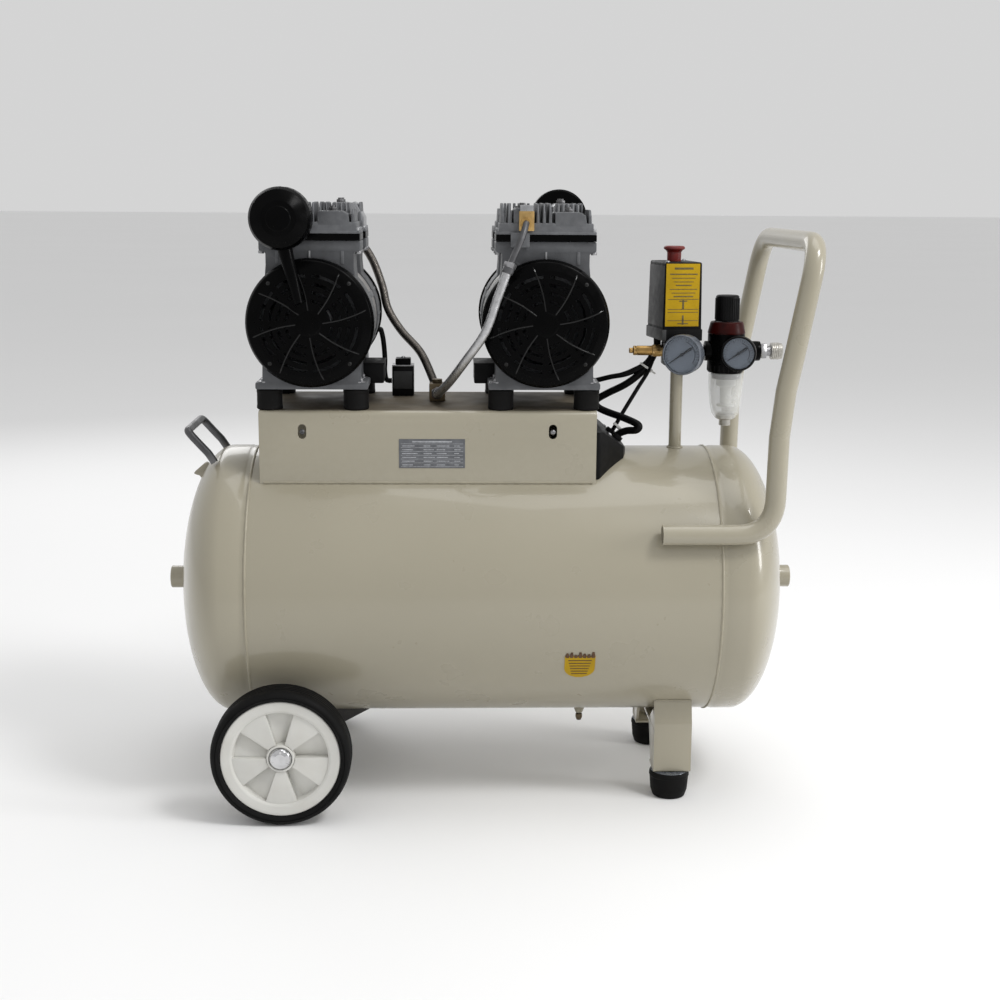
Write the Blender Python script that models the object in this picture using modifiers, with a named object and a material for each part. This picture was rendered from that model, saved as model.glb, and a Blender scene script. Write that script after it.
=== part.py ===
"""Horizontal-tank air compressor with two double-ended oil-free pumps, built as separate parts.

Frame: metres, +Z up, the floor at Z = 0, the tank's axis along X with its middle over the origin,
the side with the gauges facing -Y. Each function below builds one group of parts.
"""
import math

import bmesh
import bpy
from mathutils import Vector

# ---- driving dimensions ------------------------------------------------------------------
GAP = 0.0003                 # air between pieces that touch
TANK_R = 0.150               # tank outside radius
TANK_Z = 0.230               # height of the tank's axis
TANK_WALL = 0.003
SEAM_X = 0.254               # weld seam to middle
FLANGE = 0.025               # straight part of each dished head
DISH = 0.055                 # depth of the dished part
BUNG_R, BUNG_BORE, BUNG_X = 0.0125, 0.0080, 0.3520

DECK_X0, DECK_X1 = -0.2398, 0.1200   # pump platform ends
DECK_HALF = 0.0855                   # half width over the skirts
DECK_Z = 0.4315                      # top of the platform
SHEET = 0.003

PUMP_X = (-0.1830, 0.0636)   # left and right pump axes
PUMP_Z = 0.5246              # shaft height
COVER_R, COVER_FACE = 0.0674, 0.1050
MOUNT_U, MOUNT_V, MOUNT_R = 0.0460, 0.0692, 0.0138

WHEEL_X, WHEEL_R, WHEEL_FACE, TYRE_W = -0.2150, 0.0742, 0.1733, 0.0393
RIM_R = 0.0633
AXLE_R = 0.0050
SHAFT_R, SHAFT_BORE = 0.0075, 0.0076
FOOT_X, FOOT_Y = 0.2080, 0.0860

RISER_X = 0.2165
SWITCH_X, SWITCH_TURN = 0.2122, math.radians(8)
KNOB_X = 0.2100
REG_X, REG_Z = 0.2710, 0.4884
GAUGE_TURN, OUTLET_TURN = math.radians(-28), math.radians(-18)
ZERO_ANGLE = 215             # where the gauge needles rest
TUBE_R = 0.0108              # push handle tube
HANDLE_Y = 0.1405

TO_X = (0, math.pi / 2, 0)           # turns local +Z to +X
TO_Y = (-math.pi / 2, 0, 0)          # turns local +Z to +Y
TO_FRONT = (math.pi / 2, 0, 0)       # turns local +Z to -Y, and an outline in XY to XZ
ALONG_X = (math.pi / 2, 0, math.pi / 2)   # an outline in XY to YZ

for old in list(bpy.data.objects):
    bpy.data.objects.remove(old, do_unlink=True)

parts = bpy.data.collections.new("air_compressor")
cutters = bpy.data.collections.new("cutters")
bpy.context.scene.collection.children.link(parts)
bpy.context.scene.collection.children.link(cutters)


# ---- materials ---------------------------------------------------------------------------
def material(name, colour, roughness, metallic=0.0, alpha=1.0):
    mat = bpy.data.materials.new(name)
    mat.use_nodes = True
    shader = mat.node_tree.nodes["Principled BSDF"]
    shader.inputs["Base Color"].default_value = (*colour, 1.0)
    shader.inputs["Roughness"].default_value = roughness
    shader.inputs["Metallic"].default_value = metallic
    shader.inputs["Alpha"].default_value = alpha
    return mat


CREAM = material("cream_paint", (0.50, 0.46, 0.37), 0.32)
OFF_WHITE = material("off_white_plastic", (0.80, 0.80, 0.76), 0.45)
RUBBER = material("black_rubber", (0.02, 0.02, 0.02), 0.75)
BLACK = material("black_plastic", (0.012, 0.012, 0.013), 0.35)
BLACK_STEEL = material("black_steel", (0.02, 0.02, 0.02), 0.5, 0.4)
CAST = material("cast_aluminium", (0.34, 0.35, 0.37), 0.42, 0.8)
STEEL = material("steel", (0.45, 0.45, 0.47), 0.3, 1.0)
CHROME = material("chrome", (0.75, 0.75, 0.77), 0.12, 1.0)
BRASS = material("brass", (0.62, 0.44, 0.18), 0.3, 1.0)
RED = material("red_plastic", (0.33, 0.03, 0.02), 0.4)
CLEAR = material("clear_plastic", (0.85, 0.88, 0.90), 0.05, 0.0, 0.35)
BRAID = material("steel_braid", (0.42, 0.42, 0.43), 0.35, 0.9)


# ---- building helpers --------------------------------------------------------------------
def add(name, data, mat=None, location=(0, 0, 0), rotation=(0, 0, 0), parent=None):
    obj = bpy.data.objects.new(name, data)
    (parts if mat else cutters).objects.link(obj)
    if mat:
        data.materials.append(mat)
    else:
        obj.hide_render = True
        obj.display_type = 'WIRE'
    obj.location = location
    obj.rotation_euler = rotation
    obj.parent = parent
    return obj


def empty(name, location, turn=0.0):
    obj = bpy.data.objects.new(name, None)
    parts.objects.link(obj)
    obj.location = location
    obj.rotation_euler = (0, 0, turn)
    bpy.context.view_layer.update()
    return obj


def smooth(obj, angle=35):
    obj.data.shade_smooth()
    obj.data.set_sharp_from_angle(angle=math.radians(angle))


def block(name, low, high, mat=None, bevel=0.0, **place):
    """A box between two corners, in the frame of its place."""
    bm = bmesh.new()
    bmesh.ops.create_cube(bm, size=1.0)
    low, high = Vector(low), Vector(high)
    for v in bm.verts:
        v.co = Vector(((low + high) / 2 + Vector(a * b for a, b in zip(v.co, high - low))))
    mesh = bpy.data.meshes.new(name)
    bm.to_mesh(mesh)
    bm.free()
    obj = add(name, mesh, mat, **place)
    if bevel:
        mod = obj.modifiers.new("edges", 'BEVEL')
        mod.width = bevel
        mod.segments = 2
    return obj


def drum(name, radius, low, high, mat=None, sides=20, top_radius=None, **place):
    """A cylinder or cone along local Z from low to high."""
    bm = bmesh.new()
    bmesh.ops.create_cone(bm, cap_ends=True, segments=sides, radius1=radius,
                          radius2=radius if top_radius is None else top_radius,
                          depth=high - low)
    for v in bm.verts:
        v.co.z += (low + high) / 2
    mesh = bpy.data.meshes.new(name)
    bm.to_mesh(mesh)
    bm.free()
    obj = add(name, mesh, mat, **place)
    smooth(obj)
    return obj


def turned(name, profile, mat=None, steps=20, ring=False, **place):
    """A profile of (radius, height) points, down its outer side, turned about local Z."""
    bm = bmesh.new()
    verts = [bm.verts.new((r, 0, h)) for r, h in profile]
    for a, b in zip(verts, verts[1:]):
        bm.edges.new((a, b))
    if ring:
        bm.edges.new((verts[-1], verts[0]))
    mesh = bpy.data.meshes.new(name)
    bm.to_mesh(mesh)
    bm.free()
    obj = add(name, mesh, mat, **place)
    mod = obj.modifiers.new("turn", 'SCREW')
    mod.steps = mod.render_steps = steps
    mod.use_merge_vertices = True
    mod.merge_threshold = 0.00001
    return obj


def outline(name, points, thickness, mat=None, holes=(), **place):
    """A flat outline with holes, extruded to both sides of local XY, as a mesh."""
    curve = bpy.data.curves.new(name, 'CURVE')
    curve.dimensions = '2D'
    curve.fill_mode = 'BOTH'
    curve.extrude = thickness / 2
    for loop in (points, *holes):
        spline = curve.splines.new('POLY')
        spline.points.add(len(loop) - 1)
        for point, (x, y) in zip(spline.points, loop):
            point.co = (x, y, 0, 1)
        spline.use_cyclic_u = True
    return meshed(add(name, curve, mat), mat, **place)


def meshed(guide, mat=None, **place):
    """The curve object as a mesh object with welded caps; the curve is removed."""
    name = guide.name
    guide.name = name + "_curve"
    bpy.context.view_layer.update()
    evaluated = guide.evaluated_get(bpy.context.evaluated_depsgraph_get())
    mesh = bpy.data.meshes.new_from_object(evaluated)
    bm = bmesh.new()
    bm.from_mesh(mesh)
    bmesh.ops.remove_doubles(bm, verts=bm.verts, dist=0.00001)
    bmesh.ops.recalc_face_normals(bm, faces=bm.faces)
    bm.to_mesh(mesh)
    bm.free()
    mesh.materials.clear()
    bpy.data.objects.remove(guide, do_unlink=True)
    return add(name, mesh, mat, **place)


def tube(name, points, radius, mat=None, **place):
    """A round tube along the points, with filled caps."""
    curve = bpy.data.curves.new(name, 'CURVE')
    curve.dimensions = '3D'
    curve.bevel_depth = radius
    curve.bevel_resolution = 2
    curve.use_fill_caps = True
    spline = curve.splines.new('POLY')
    spline.points.add(len(points) - 1)
    for point, co in zip(spline.points, points):
        point.co = (*co, 1)
    return add(name, curve, mat, **place)


def flowing(points, per_span=4):
    """Points on a smooth curve through the given ones."""
    pts = [Vector(p) for p in points]
    pts = [2 * pts[0] - pts[1], *pts, 2 * pts[-1] - pts[-2]]
    out = []
    for a, b, c, d in zip(pts, pts[1:], pts[2:], pts[3:]):
        for i in range(per_span):
            t = i / per_span
            out.append(0.5 * (2 * b + (c - a) * t + (2 * a - 5 * b + 4 * c - d) * t ** 2
                              + (3 * b - a - 3 * c + d) * t ** 3))
    return out + [pts[-2]]


def filleted(points, radius, steps=5):
    """The path with each inner corner rounded to the radius."""
    pts = [Vector(p) for p in points]
    out = [pts[0]]
    for before, corner, after in zip(pts, pts[1:], pts[2:]):
        u, w = (before - corner).normalized(), (after - corner).normalized()
        half = u.angle(w) / 2
        reach = min(radius / math.tan(half), (before - corner).length * 0.49,
                    (after - corner).length * 0.49)
        start, end = corner + u * reach, corner + w * reach
        for i in range(steps + 1):
            t = i / steps
            out.append(start * (1 - t) ** 2 + corner * 2 * t * (1 - t) + end * t ** 2)
    return out + [pts[-1]]


def boolean(obj, other, operation):
    mod = obj.modifiers.new(operation.lower(), 'BOOLEAN')
    mod.operation = operation
    mod.solver = 'EXACT'
    mod.object = other
    return obj


def cut(obj, *others):
    for other in others:
        boolean(obj, other, 'DIFFERENCE')
    return obj


def join(obj, *others):
    for other in others:
        boolean(obj, other, 'UNION')
    return obj


def arc(radius, start, end, steps, centre=(0, 0)):
    """Points on an arc, angles in degrees."""
    span = math.radians(end - start)
    return [(centre[0] + radius * math.cos(math.radians(start) + span * i / steps),
             centre[1] + radius * math.sin(math.radians(start) + span * i / steps))
            for i in range(steps + 1)]


def tank_cutter(name, clearance=GAP, length=0.9):
    """The tank's cylinder with some clearance, to shape what stands on it."""
    return drum(name, TANK_R + clearance, -length / 2, length / 2, sides=80,
                location=(0, 0, TANK_Z), rotation=TO_X)


# ---- the tank and what is welded to it ---------------------------------------------------
def dish(radius, depth, floor_radius, steps):
    """Half of a dished head as (radius, distance past the flange), from the bung outwards."""
    top = math.acos(floor_radius / radius)
    return [(radius * math.cos(top * (1 - i / steps)), depth * math.sin(top * (1 - i / steps)))
            for i in range(steps + 1)]


def build_tank():
    edge = SEAM_X + FLANGE
    outer = dish(TANK_R, DISH, BUNG_R, 5)
    inner = dish(TANK_R - TANK_WALL, DISH - TANK_WALL, BUNG_BORE, 3)
    right = [(BUNG_BORE, BUNG_X), (BUNG_R - 0.002, BUNG_X), (BUNG_R, BUNG_X - 0.002)]
    outside = right + [(r, edge + x) for r, x in outer]
    outside += [(r, -x) for r, x in reversed(outside)]
    inside = [(r, edge + x) for r, x in inner]
    inside = [(r, -x) for r, x in inside] + inside[::-1]
    tank = turned("tank", outside + inside, CREAM, steps=36, ring=True,
                  location=(0, 0, TANK_Z), rotation=TO_X)
    drain_x = 0.1135
    join(tank, drum("drain_boss", 0.0036, -0.1640, -0.1480, sides=16, top_radius=0.0090,
                    location=(drain_x, 0, TANK_Z)))
    join(tank, outline("head_lug", [(-0.3250, 0.3490), (-0.3170, 0.3470), (-0.3060, 0.3300),
                                    (-0.3000, 0.3560), (-0.3090, 0.3630)], 0.006,
                       rotation=TO_FRONT))
    return cut(tank, drum("drain_bore", 0.0018, -0.1650, -0.1400, sides=12,
                          location=(drain_x, 0, TANK_Z)))


def build_platform():
    """An inverted channel with rounded bends, its skirts following the tank."""
    bend = 0.0055
    side = TANK_Z + 0.10
    top = [(DECK_HALF, side)] + arc(bend, 0, 90, 3, (DECK_HALF - bend, DECK_Z - bend))
    under = [(y - SHEET if z < DECK_Z - bend + 0.0001 else y, z) for y, z in top[:1]]
    under += arc(bend - SHEET, 0, 90, 3, (DECK_HALF - bend, DECK_Z - bend))
    section = top + [(-y, z) for y, z in reversed(top)]
    section += [(-y, z) for y, z in under] + under[::-1]
    middle = (DECK_X0 + DECK_X1) / 2
    deck = outline("pump_platform", section, DECK_X1 - DECK_X0, CREAM,
                   location=(middle, 0, 0), rotation=ALONG_X)
    cut(deck, tank_cutter("tank_under_platform"))
    for i, x in enumerate((-0.1938, 0.0731)):
        slot = arc(0.0044, 0, 180, 6, (x, 0.4130)) + arc(0.0044, 180, 360, 6, (x, 0.4060))
        cut(deck, outline(f"skirt_slot_{i}", slot, 0.3, rotation=TO_FRONT))
    return cut(deck, drum("check_valve_hole", 0.0085, 0.42, 0.44, sides=20,
                          location=(-0.0510, 0, 0)))


def build_handles():
    """The bent push handle at the outlet end and the small rod handle at the other end."""
    side = [(0.1855, 0.3090), (0.3030, 0.3090), (0.3045, 0.4120), (0.3095, 0.4600),
            (0.3175, 0.5010), (0.3375, 0.6115)]
    front = [(x, -HANDLE_Y, z) for x, z in side]
    route = front + [(x, HANDLE_Y, z) for x, z in reversed(side)]
    meshed(tube("push_handle", filleted(route, 0.040, 3), TUBE_R), CREAM)
    rod = [(-0.2925, 0.3700), (-0.2990, 0.3800), (-0.3095, 0.3915), (-0.3210, 0.4045)]
    leg = [(x, -0.050, z) for x, z in rod]
    route = leg + [(x, -y, z) for x, y, z in reversed(leg)]
    meshed(tube("lift_handle", filleted(route, 0.010, 3), 0.0043), BLACK_STEEL)


def build_feet():
    """One bent bracket under the outlet end with a leg and a rubber foot on each side."""
    half_width = 0.0208
    front, web = FOOT_Y + 0.0125, 0.0740
    under = [(front - SHEET, web), (front - SHEET, 0.0330), (0.0640, 0.0332),
             (0.0640, 0.0302), (front, 0.0300), (front, 0.0860), (0.0870, 0.1250),
             (0.0837, 0.1250), (front - SHEET, 0.0850), (front - SHEET, web + SHEET)]
    section = under + [(-y, z) for y, z in reversed(under)]
    bracket = outline("foot_bracket", section, 2 * half_width, CREAM,
                      location=(FOOT_X + 0.0015, 0, 0), rotation=ALONG_X)
    for name, side in (("front", -1), ("rear", 1)):
        flange = [(0.0970, 0.0317), (0.0970, 0.0840), (0.0800, 0.0980), (0.0450, 0.0755),
                  (0.0680, 0.0317)]
        join(bracket, outline(f"leg_flange_{name}", [(side * y, z) for y, z in flange],
                              SHEET, rotation=ALONG_X,
                              location=(FOOT_X + 0.0020 - half_width + SHEET / 2, 0, 0)))
    cut(bracket, tank_cutter("tank_over_bracket"))
    for name, side in (("front", -1), ("rear", 1)):
        profile = [(0, 0.0297), (0.0212, 0.0297), (0.0218, 0.0270), (0.0223, 0.0240),
                   (0.0205, 0.0080), (0.0170, 0.0), (0, 0)]
        foot = turned(f"rubber_foot_{name}", profile, RUBBER, steps=20,
                      location=(FOOT_X, side * FOOT_Y, 0))
        smooth(foot)


# ---- the wheels --------------------------------------------------------------------------
def build_axle():
    half = 0.0450
    plate = [(-0.2480, 0.1250), (-0.2330, 0.0630), (-0.2230, 0.0560), (-0.1950, 0.0560),
             (-0.1800, 0.0585), (-0.1250, 0.0883), (-0.1230, 0.1250)]
    bracket = outline("axle_bracket", plate, 2 * half, BLACK_STEEL, rotation=TO_FRONT)
    inside = block("bracket_inside", (-0.2600, SHEET - half, 0.0590),
                   (-0.1000, half - SHEET, 0.1300))
    cut(bracket, inside, tank_cutter("tank_over_axle"),
        drum("axle_hole", AXLE_R + GAP, -0.2, 0.2, sides=24,
             location=(WHEEL_X, 0, WHEEL_R), rotation=TO_Y))
    half = WHEEL_FACE - 0.0012
    cap = [(0.0070, half), (0.0105, half - 0.0015), (0.0118, half - 0.0050),
           (AXLE_R, half - 0.0050)]
    profile = [(0, half)] + cap
    profile += [(r, -z) for r, z in reversed(profile)]
    smooth(turned("axle", profile, CHROME, location=(WHEEL_X, 0, WHEEL_R), rotation=TO_Y))


def build_wheel(name, side):
    """A plastic wheel and its tyre; local +Z points to the outer side."""
    turn = TO_FRONT if side < 0 else TO_Y
    place = {"location": (WHEEL_X, side * (WHEEL_FACE - TYRE_W / 2), WHEEL_R),
             "rotation": turn}
    half = TYRE_W / 2
    rim = RIM_R - GAP
    wheel = [(0.0140, 0.0120), (0.0180, 0.0050), (0.0520, 0.0100), (0.0560, 0.0160),
             (rim, 0.0155), (rim, -0.0150), (0.0560, -0.0150), (0.0520, 0.0050),
             (0.0180, 0.0010), (0.0140, -0.0150), (AXLE_R + 0.0001, -0.0150),
             (AXLE_R + 0.0001, 0.0120)]
    smooth(turned(f"wheel_{name}", wheel, OFF_WHITE, ring=True, **place))
    shoulder = 0.0060
    tyre = [(RIM_R, 0.0165), (WHEEL_R - shoulder, half), (WHEEL_R - 0.0015, half - 0.0030),
            (WHEEL_R, half - 0.0090)]
    tyre += [(r, -z) for r, z in reversed(tyre)]
    smooth(turned(f"tyre_{name}", tyre, RUBBER, ring=True, **place))


# ---- the pumps ---------------------------------------------------------------------------
def build_pump(name, centre, turn):
    """A double-ended pump: local Y is the shaft, local -Y the end with the intake filter."""
    base = empty(f"pump_{name}", (centre, 0, PUMP_Z), turn)
    in_pump = {"parent": base}
    floor = DECK_Z + 0.0225 - PUMP_Z
    for end, side in (("front", -1), ("rear", 1)):
        world_end = end if turn == 0 else ("rear" if end == "front" else "front")
        spin = 0 if side < 0 else math.pi
        face = side * 0.0565
        build_crankcase(f"crankcase_{name}_{world_end}", floor, face, in_pump)
        build_head(f"head_{name}_{world_end}", face, spin, in_pump)
        build_cover(f"fan_cover_{name}_{world_end}", side, in_pump)
        for mark, u in (("a", -MOUNT_U), ("b", MOUNT_U)):
            smooth(turned(f"mount_{name}_{world_end}_{mark}",
                          [(0, -0.0003), (0.0120, -0.0003), (MOUNT_R, -0.0020),
                           (MOUNT_R, -0.0200), (0.0125, -0.0222), (0, -0.0222)],
                          RUBBER, steps=16, location=(u, side * MOUNT_V, floor), **in_pump))
    stator = turned(f"stator_{name}", [(0.0640, 0.0295), (0.0640, -0.0295),
                                       (0.0282, -0.0295), (0.0282, 0.0295)],
                    CAST, ring=True, rotation=TO_Y, **in_pump)
    join(stator, block(f"terminal_box_{name}", (0.0300, -0.0280, floor),
                       (0.0740, 0.0280, -0.0480), **in_pump))
    build_rotor(f"rotor_{name}", base)
    smooth(turned(f"intake_filter_{name}",
                  [(0, 0.1385), (0.0170, 0.1370), (0.0295, 0.1290), (0.0320, 0.1220),
                   (0.0320, 0.1010), (0.0300, 0.0990), (0.0105, 0.0990), (0.0105, 0.0863),
                   (0, 0.0863)], BLACK, location=(-0.0260, 0, 0.1078), rotation=TO_FRONT, **in_pump))


def build_crankcase(name, floor, face, in_pump):
    """A round casting with its foot plate, shaft bore, crank chamber and cylinder."""
    neck, flange_low, flange_top = 0.0460, 0.0744, 0.0850
    bell = 0.0655
    right = [(0.0595, floor), (0.0595, floor + 0.0072), (0.0515, floor + 0.0078)]
    right += arc(bell, -38.2, 44.0, 6)
    right += [(neck, 0.0600), (neck, flange_low - 0.0010), (0.0530, flange_low),
              (0.0530, flange_top)]
    shape = right + [(-x, z) for x, z in reversed(right)]
    case = outline(name, shape, 0.0530, CAST, location=(0, face, 0), rotation=TO_FRONT,
                   **in_pump)
    outward = -1 if face < 0 else 1
    spin = TO_FRONT if outward < 0 else TO_Y
    chamber = turned(name + "_chamber", [(0, 0.0900), (0.0440, 0.0900), (0.0440, 0.0380),
                                         (SHAFT_BORE, 0.0380), (SHAFT_BORE, 0.0200),
                                         (0, 0.0200)], rotation=spin, **in_pump)
    cylinder = drum(name + "_cylinder", 0.0220, 0.0300, 0.0900, sides=16,
                    location=(0, face, 0), rotation=(0, 0, math.pi / 16), **in_pump)
    return cut(case, chamber, cylinder)


def build_head(name, face, spin, in_pump):
    """A valve plate with a finned cylinder head over it, as one comb-shaped section."""
    low, plate_top, body_top, fin_top = 0.0853, 0.0925, 0.1040, 0.1245
    teeth = [(-0.0475, -0.0445, fin_top), (-0.0405, -0.0375, fin_top),
             (-0.0345, -0.0135, 0.1195), (-0.0105, -0.0075, fin_top),
             (-0.0040, -0.0010, fin_top), (0.0025, 0.0055, fin_top),
             (0.0090, 0.0410, 0.1155), (0.0440, 0.0470, 0.1120)]
    shape = [(0.0530, low), (0.0530, plate_top), (0.0495, plate_top), (0.0495, body_top)]
    for left, right, top in reversed(teeth):
        shape += [(right, body_top), (right, top), (left, top), (left, body_top)]
    shape += [(-0.0495, body_top), (-0.0495, plate_top), (-0.0530, plate_top),
              (-0.0530, low)]
    return outline(name, shape, 0.0590, CAST, location=(0, face, 0),
                   rotation=(math.pi / 2, 0, spin), **in_pump)


def build_cover(name, side, in_pump):
    """A domed fan cover with radial slots, open towards the crankcase."""
    back, front = 0.0833, COVER_FACE
    cover = turned(name, [(0, front), (0.0560, front - 0.0030), (0.0640, front - 0.0070),
                          (COVER_R, front - 0.0120), (COVER_R, back),
                          (COVER_R - 0.0020, back), (COVER_R - 0.0020, front - 0.0125),
                          (0.0550, front - 0.0052), (0, front - 0.0025)], BLACK,
                   rotation=TO_FRONT if side < 0 else TO_Y, **in_pump)
    bm = bmesh.new()
    slots = 8
    for i in range(slots):
        made = bmesh.ops.create_cube(bm, size=1.0)["verts"]
        angle = 2 * math.pi * (i + 0.5) / slots
        for v in made:
            r, across, h = 0.038 + v.co.x * 0.030, v.co.y * 0.008, 0.104 + v.co.z * 0.02
            v.co = (r * math.cos(angle) - across * math.sin(angle),
                    r * math.sin(angle) + across * math.cos(angle), h)
    mesh = bpy.data.meshes.new(name + "_slots")
    bm.to_mesh(mesh)
    bm.free()
    return cut(cover, add(name + "_slots", mesh,
                          rotation=TO_FRONT if side < 0 else TO_Y, **in_pump))


def build_rotor(name, base):
    """The shaft with its core, two eccentrics and a cooling fan at each end."""
    core_r, core = 0.0275, 0.0260
    half = [(0, 0.0985), (SHAFT_R, 0.0985), (SHAFT_R, core), (core_r, core)]
    rotor = turned(name, half + [(r, -z) for r, z in reversed(half)], STEEL,
                   rotation=TO_Y, parent=base)
    blades, hub = 5, 0.0130
    star = []
    for i in range(blades):
        mid = 2 * math.pi * (i + 0.3) / blades
        for radius, across in ((hub, -0.0016), (0.0540, -0.0010), (0.0540, 0.0010),
                               (hub, 0.0016)):
            star.append((radius * math.cos(mid) - across * math.sin(mid),
                         radius * math.sin(mid) + across * math.cos(mid)))
    for end, side in (("front", -1), ("rear", 1)):
        fan = outline(f"{name}_fan_{end}", star, 0.0110, rotation=TO_FRONT,
                      location=(0, side * 0.0920, 0), parent=base)
        eccentric = drum(f"{name}_eccentric_{end}", 0.0160, -0.006, 0.006, sides=16,
                         location=(0.0050, side * 0.0580, 0), rotation=TO_Y, parent=base)
        join(rotor, fan, eccentric)
    return rotor


# ---- pressure switch, gauges, regulator and outlet ---------------------------------------
def build_manifold():
    """The riser pipe with the block that carries the switch, the gauges and the valves."""
    pipe = drum("manifold", 0.0070, TANK_Z + TANK_R + GAP, 0.5015, CREAM, sides=20,
                location=(RISER_X, 0, 0))
    join(pipe, block("manifold_block", (0.2000, -0.0140, 0.4730), (0.2335, 0.0140, 0.4985)),
         block("gauge_boss", (0.2215, -0.0240, 0.4805), (0.2390, -0.0130, 0.4975)))
    place = {"steps": 16, "location": (0.2000, 0, 0.4885), "rotation": (0, -math.pi / 2, 0)}
    turned("safety_valve", [(0, 0.0180), (0.0021, 0.0180), (0.0021, 0.0330), (0.0048, 0.0330),
                            (0.0054, 0.0322), (0.0054, 0.0120), (0.0075, 0.0110),
                            (0.0075, GAP), (0, GAP)], BRASS, **place)
    turned("safety_valve_pin", [(0, 0.0375), (0.0030, 0.0370), (0.0030, 0.0333),
                                (0.0018, 0.0333), (0.0018, 0.0190), (0, 0.0190)], STEEL,
           **place)


def build_switch():
    place = {"location": (SWITCH_X, 0, 0), "rotation": (0, 0, SWITCH_TURN)}
    body = block("pressure_switch", (-0.0220, -0.0320, 0.5080), (0.0220, 0.0320, 0.5872),
                 BLACK, bevel=0.003, **place)
    join(body, block("switch_base", (-0.0228, -0.0330, 0.5020), (0.0228, 0.0330, 0.5150),
                     **place))
    cut(body, drum("switch_knob_hole", 0.0081, 0.5740, 0.6, sides=24,
                   location=(KNOB_X, 0, 0)))
    smooth(turned("switch_knob", [(0, 0.6037), (0.0095, 0.6037), (0.0116, 0.6025),
                                  (0.0116, 0.5997), (0.0078, 0.5990), (0.0078, 0.5830),
                                  (0, 0.5830)], RED, location=(KNOB_X, 0, 0)))


def build_gauge(name, centre, turn, radius, depth, stem):
    """A dial gauge: case with a deep bezel and a stem behind, and its needle."""
    rim = radius - 0.0022
    case = [(0, -0.0100), (0.0020, -0.0100), (0.0020, -0.0030), (rim, -0.0030), (rim, 0),
            (radius, -0.0010), (radius, -depth), (0.0060, -depth), (0.0060, -stem),
            (0, -stem)]
    pose = {"location": centre, "rotation": (math.pi / 2, 0, turn)}
    smooth(turned(name, case, BLACK, **pose))
    length = rim - 0.0030
    a = math.radians(ZERO_ANGLE)
    shape = [(-0.0060, -0.0009), (length, -0.0003), (length, 0.0003), (-0.0060, 0.0009)]
    pointed = [(x * math.cos(a) - y * math.sin(a), x * math.sin(a) + y * math.cos(a))
               for x, y in shape]
    needle = outline(name + "_needle", pointed, 0.0006, RED, **pose)
    needle.delta_location = tuple(0.0020 * c for c in (-math.sin(turn), math.cos(turn), 0))
    pin = drum(name + "_pin", 0.00194, -0.0080, -0.0012, sides=12, **pose)
    join(needle, pin)


def build_regulator():
    """The regulator with its ports and the plug of the outlet coupler, as one body."""
    body = turned("regulator_body", [(0, 0.5210), (0.0120, 0.5210), (0.0185, 0.5205),
                                     (0.0185, 0.5090), (0.0200, 0.5080), (0.0205, 0.4720),
                                     (0.0195, 0.4648), (0, 0.4648)], BLACK,
                  location=(REG_X, 0, 0), rotation=(0, 0, math.pi / 20))
    join(body, turned("regulator_ports", [(0, 0.0632), (0.0058, 0.0632), (0.0058, 0.0452),
                                          (0.0080, 0.0450), (0.0080, 0.0350),
                                          (0.0110, 0.0345), (0.0110, -0.0240),
                                          (0.0062, -0.0245), (0.0062, -0.0372),
                                          (0, -0.0372)],
                      steps=16, location=(REG_X, 0, REG_Z), rotation=TO_X))
    smooth(turned("coupler_sleeve", [(0.0060, 0.0630), (0.0080, 0.0630), (0.0090, 0.0615),
                                     (0.0090, 0.0585), (0.0095, 0.0580), (0.0095, 0.0505),
                                     (0.0085, 0.0500), (0.0060, 0.0500)],
                  CHROME, ring=True, location=(REG_X, 0, REG_Z), rotation=TO_X))
    smooth(turned("regulator_knob", [(0, 0.5503), (0.0115, 0.5503), (0.0130, 0.5490),
                                     (0.0136, 0.5400), (0.0136, 0.5214), (0, 0.5214)],
                  BLACK, location=(REG_X, 0, 0)))
    smooth(turned("filter_bowl", [(0, 0.4155), (0.0100, 0.4160), (0.0138, 0.4210),
                                  (0.0158, 0.4300), (0.0174, 0.4450), (0.0176, 0.4643),
                                  (0.0192, 0.4643), (0.0198, 0.4600), (0.0192, 0.4450),
                                  (0.0176, 0.4290), (0.0156, 0.4190), (0.0110, 0.4130),
                                  (0.0065, 0.4115), (0.0065, 0.4045), (0, 0.4045)], CLEAR, steps=20,
                  location=(0.2722, 0, 0)))


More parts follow.
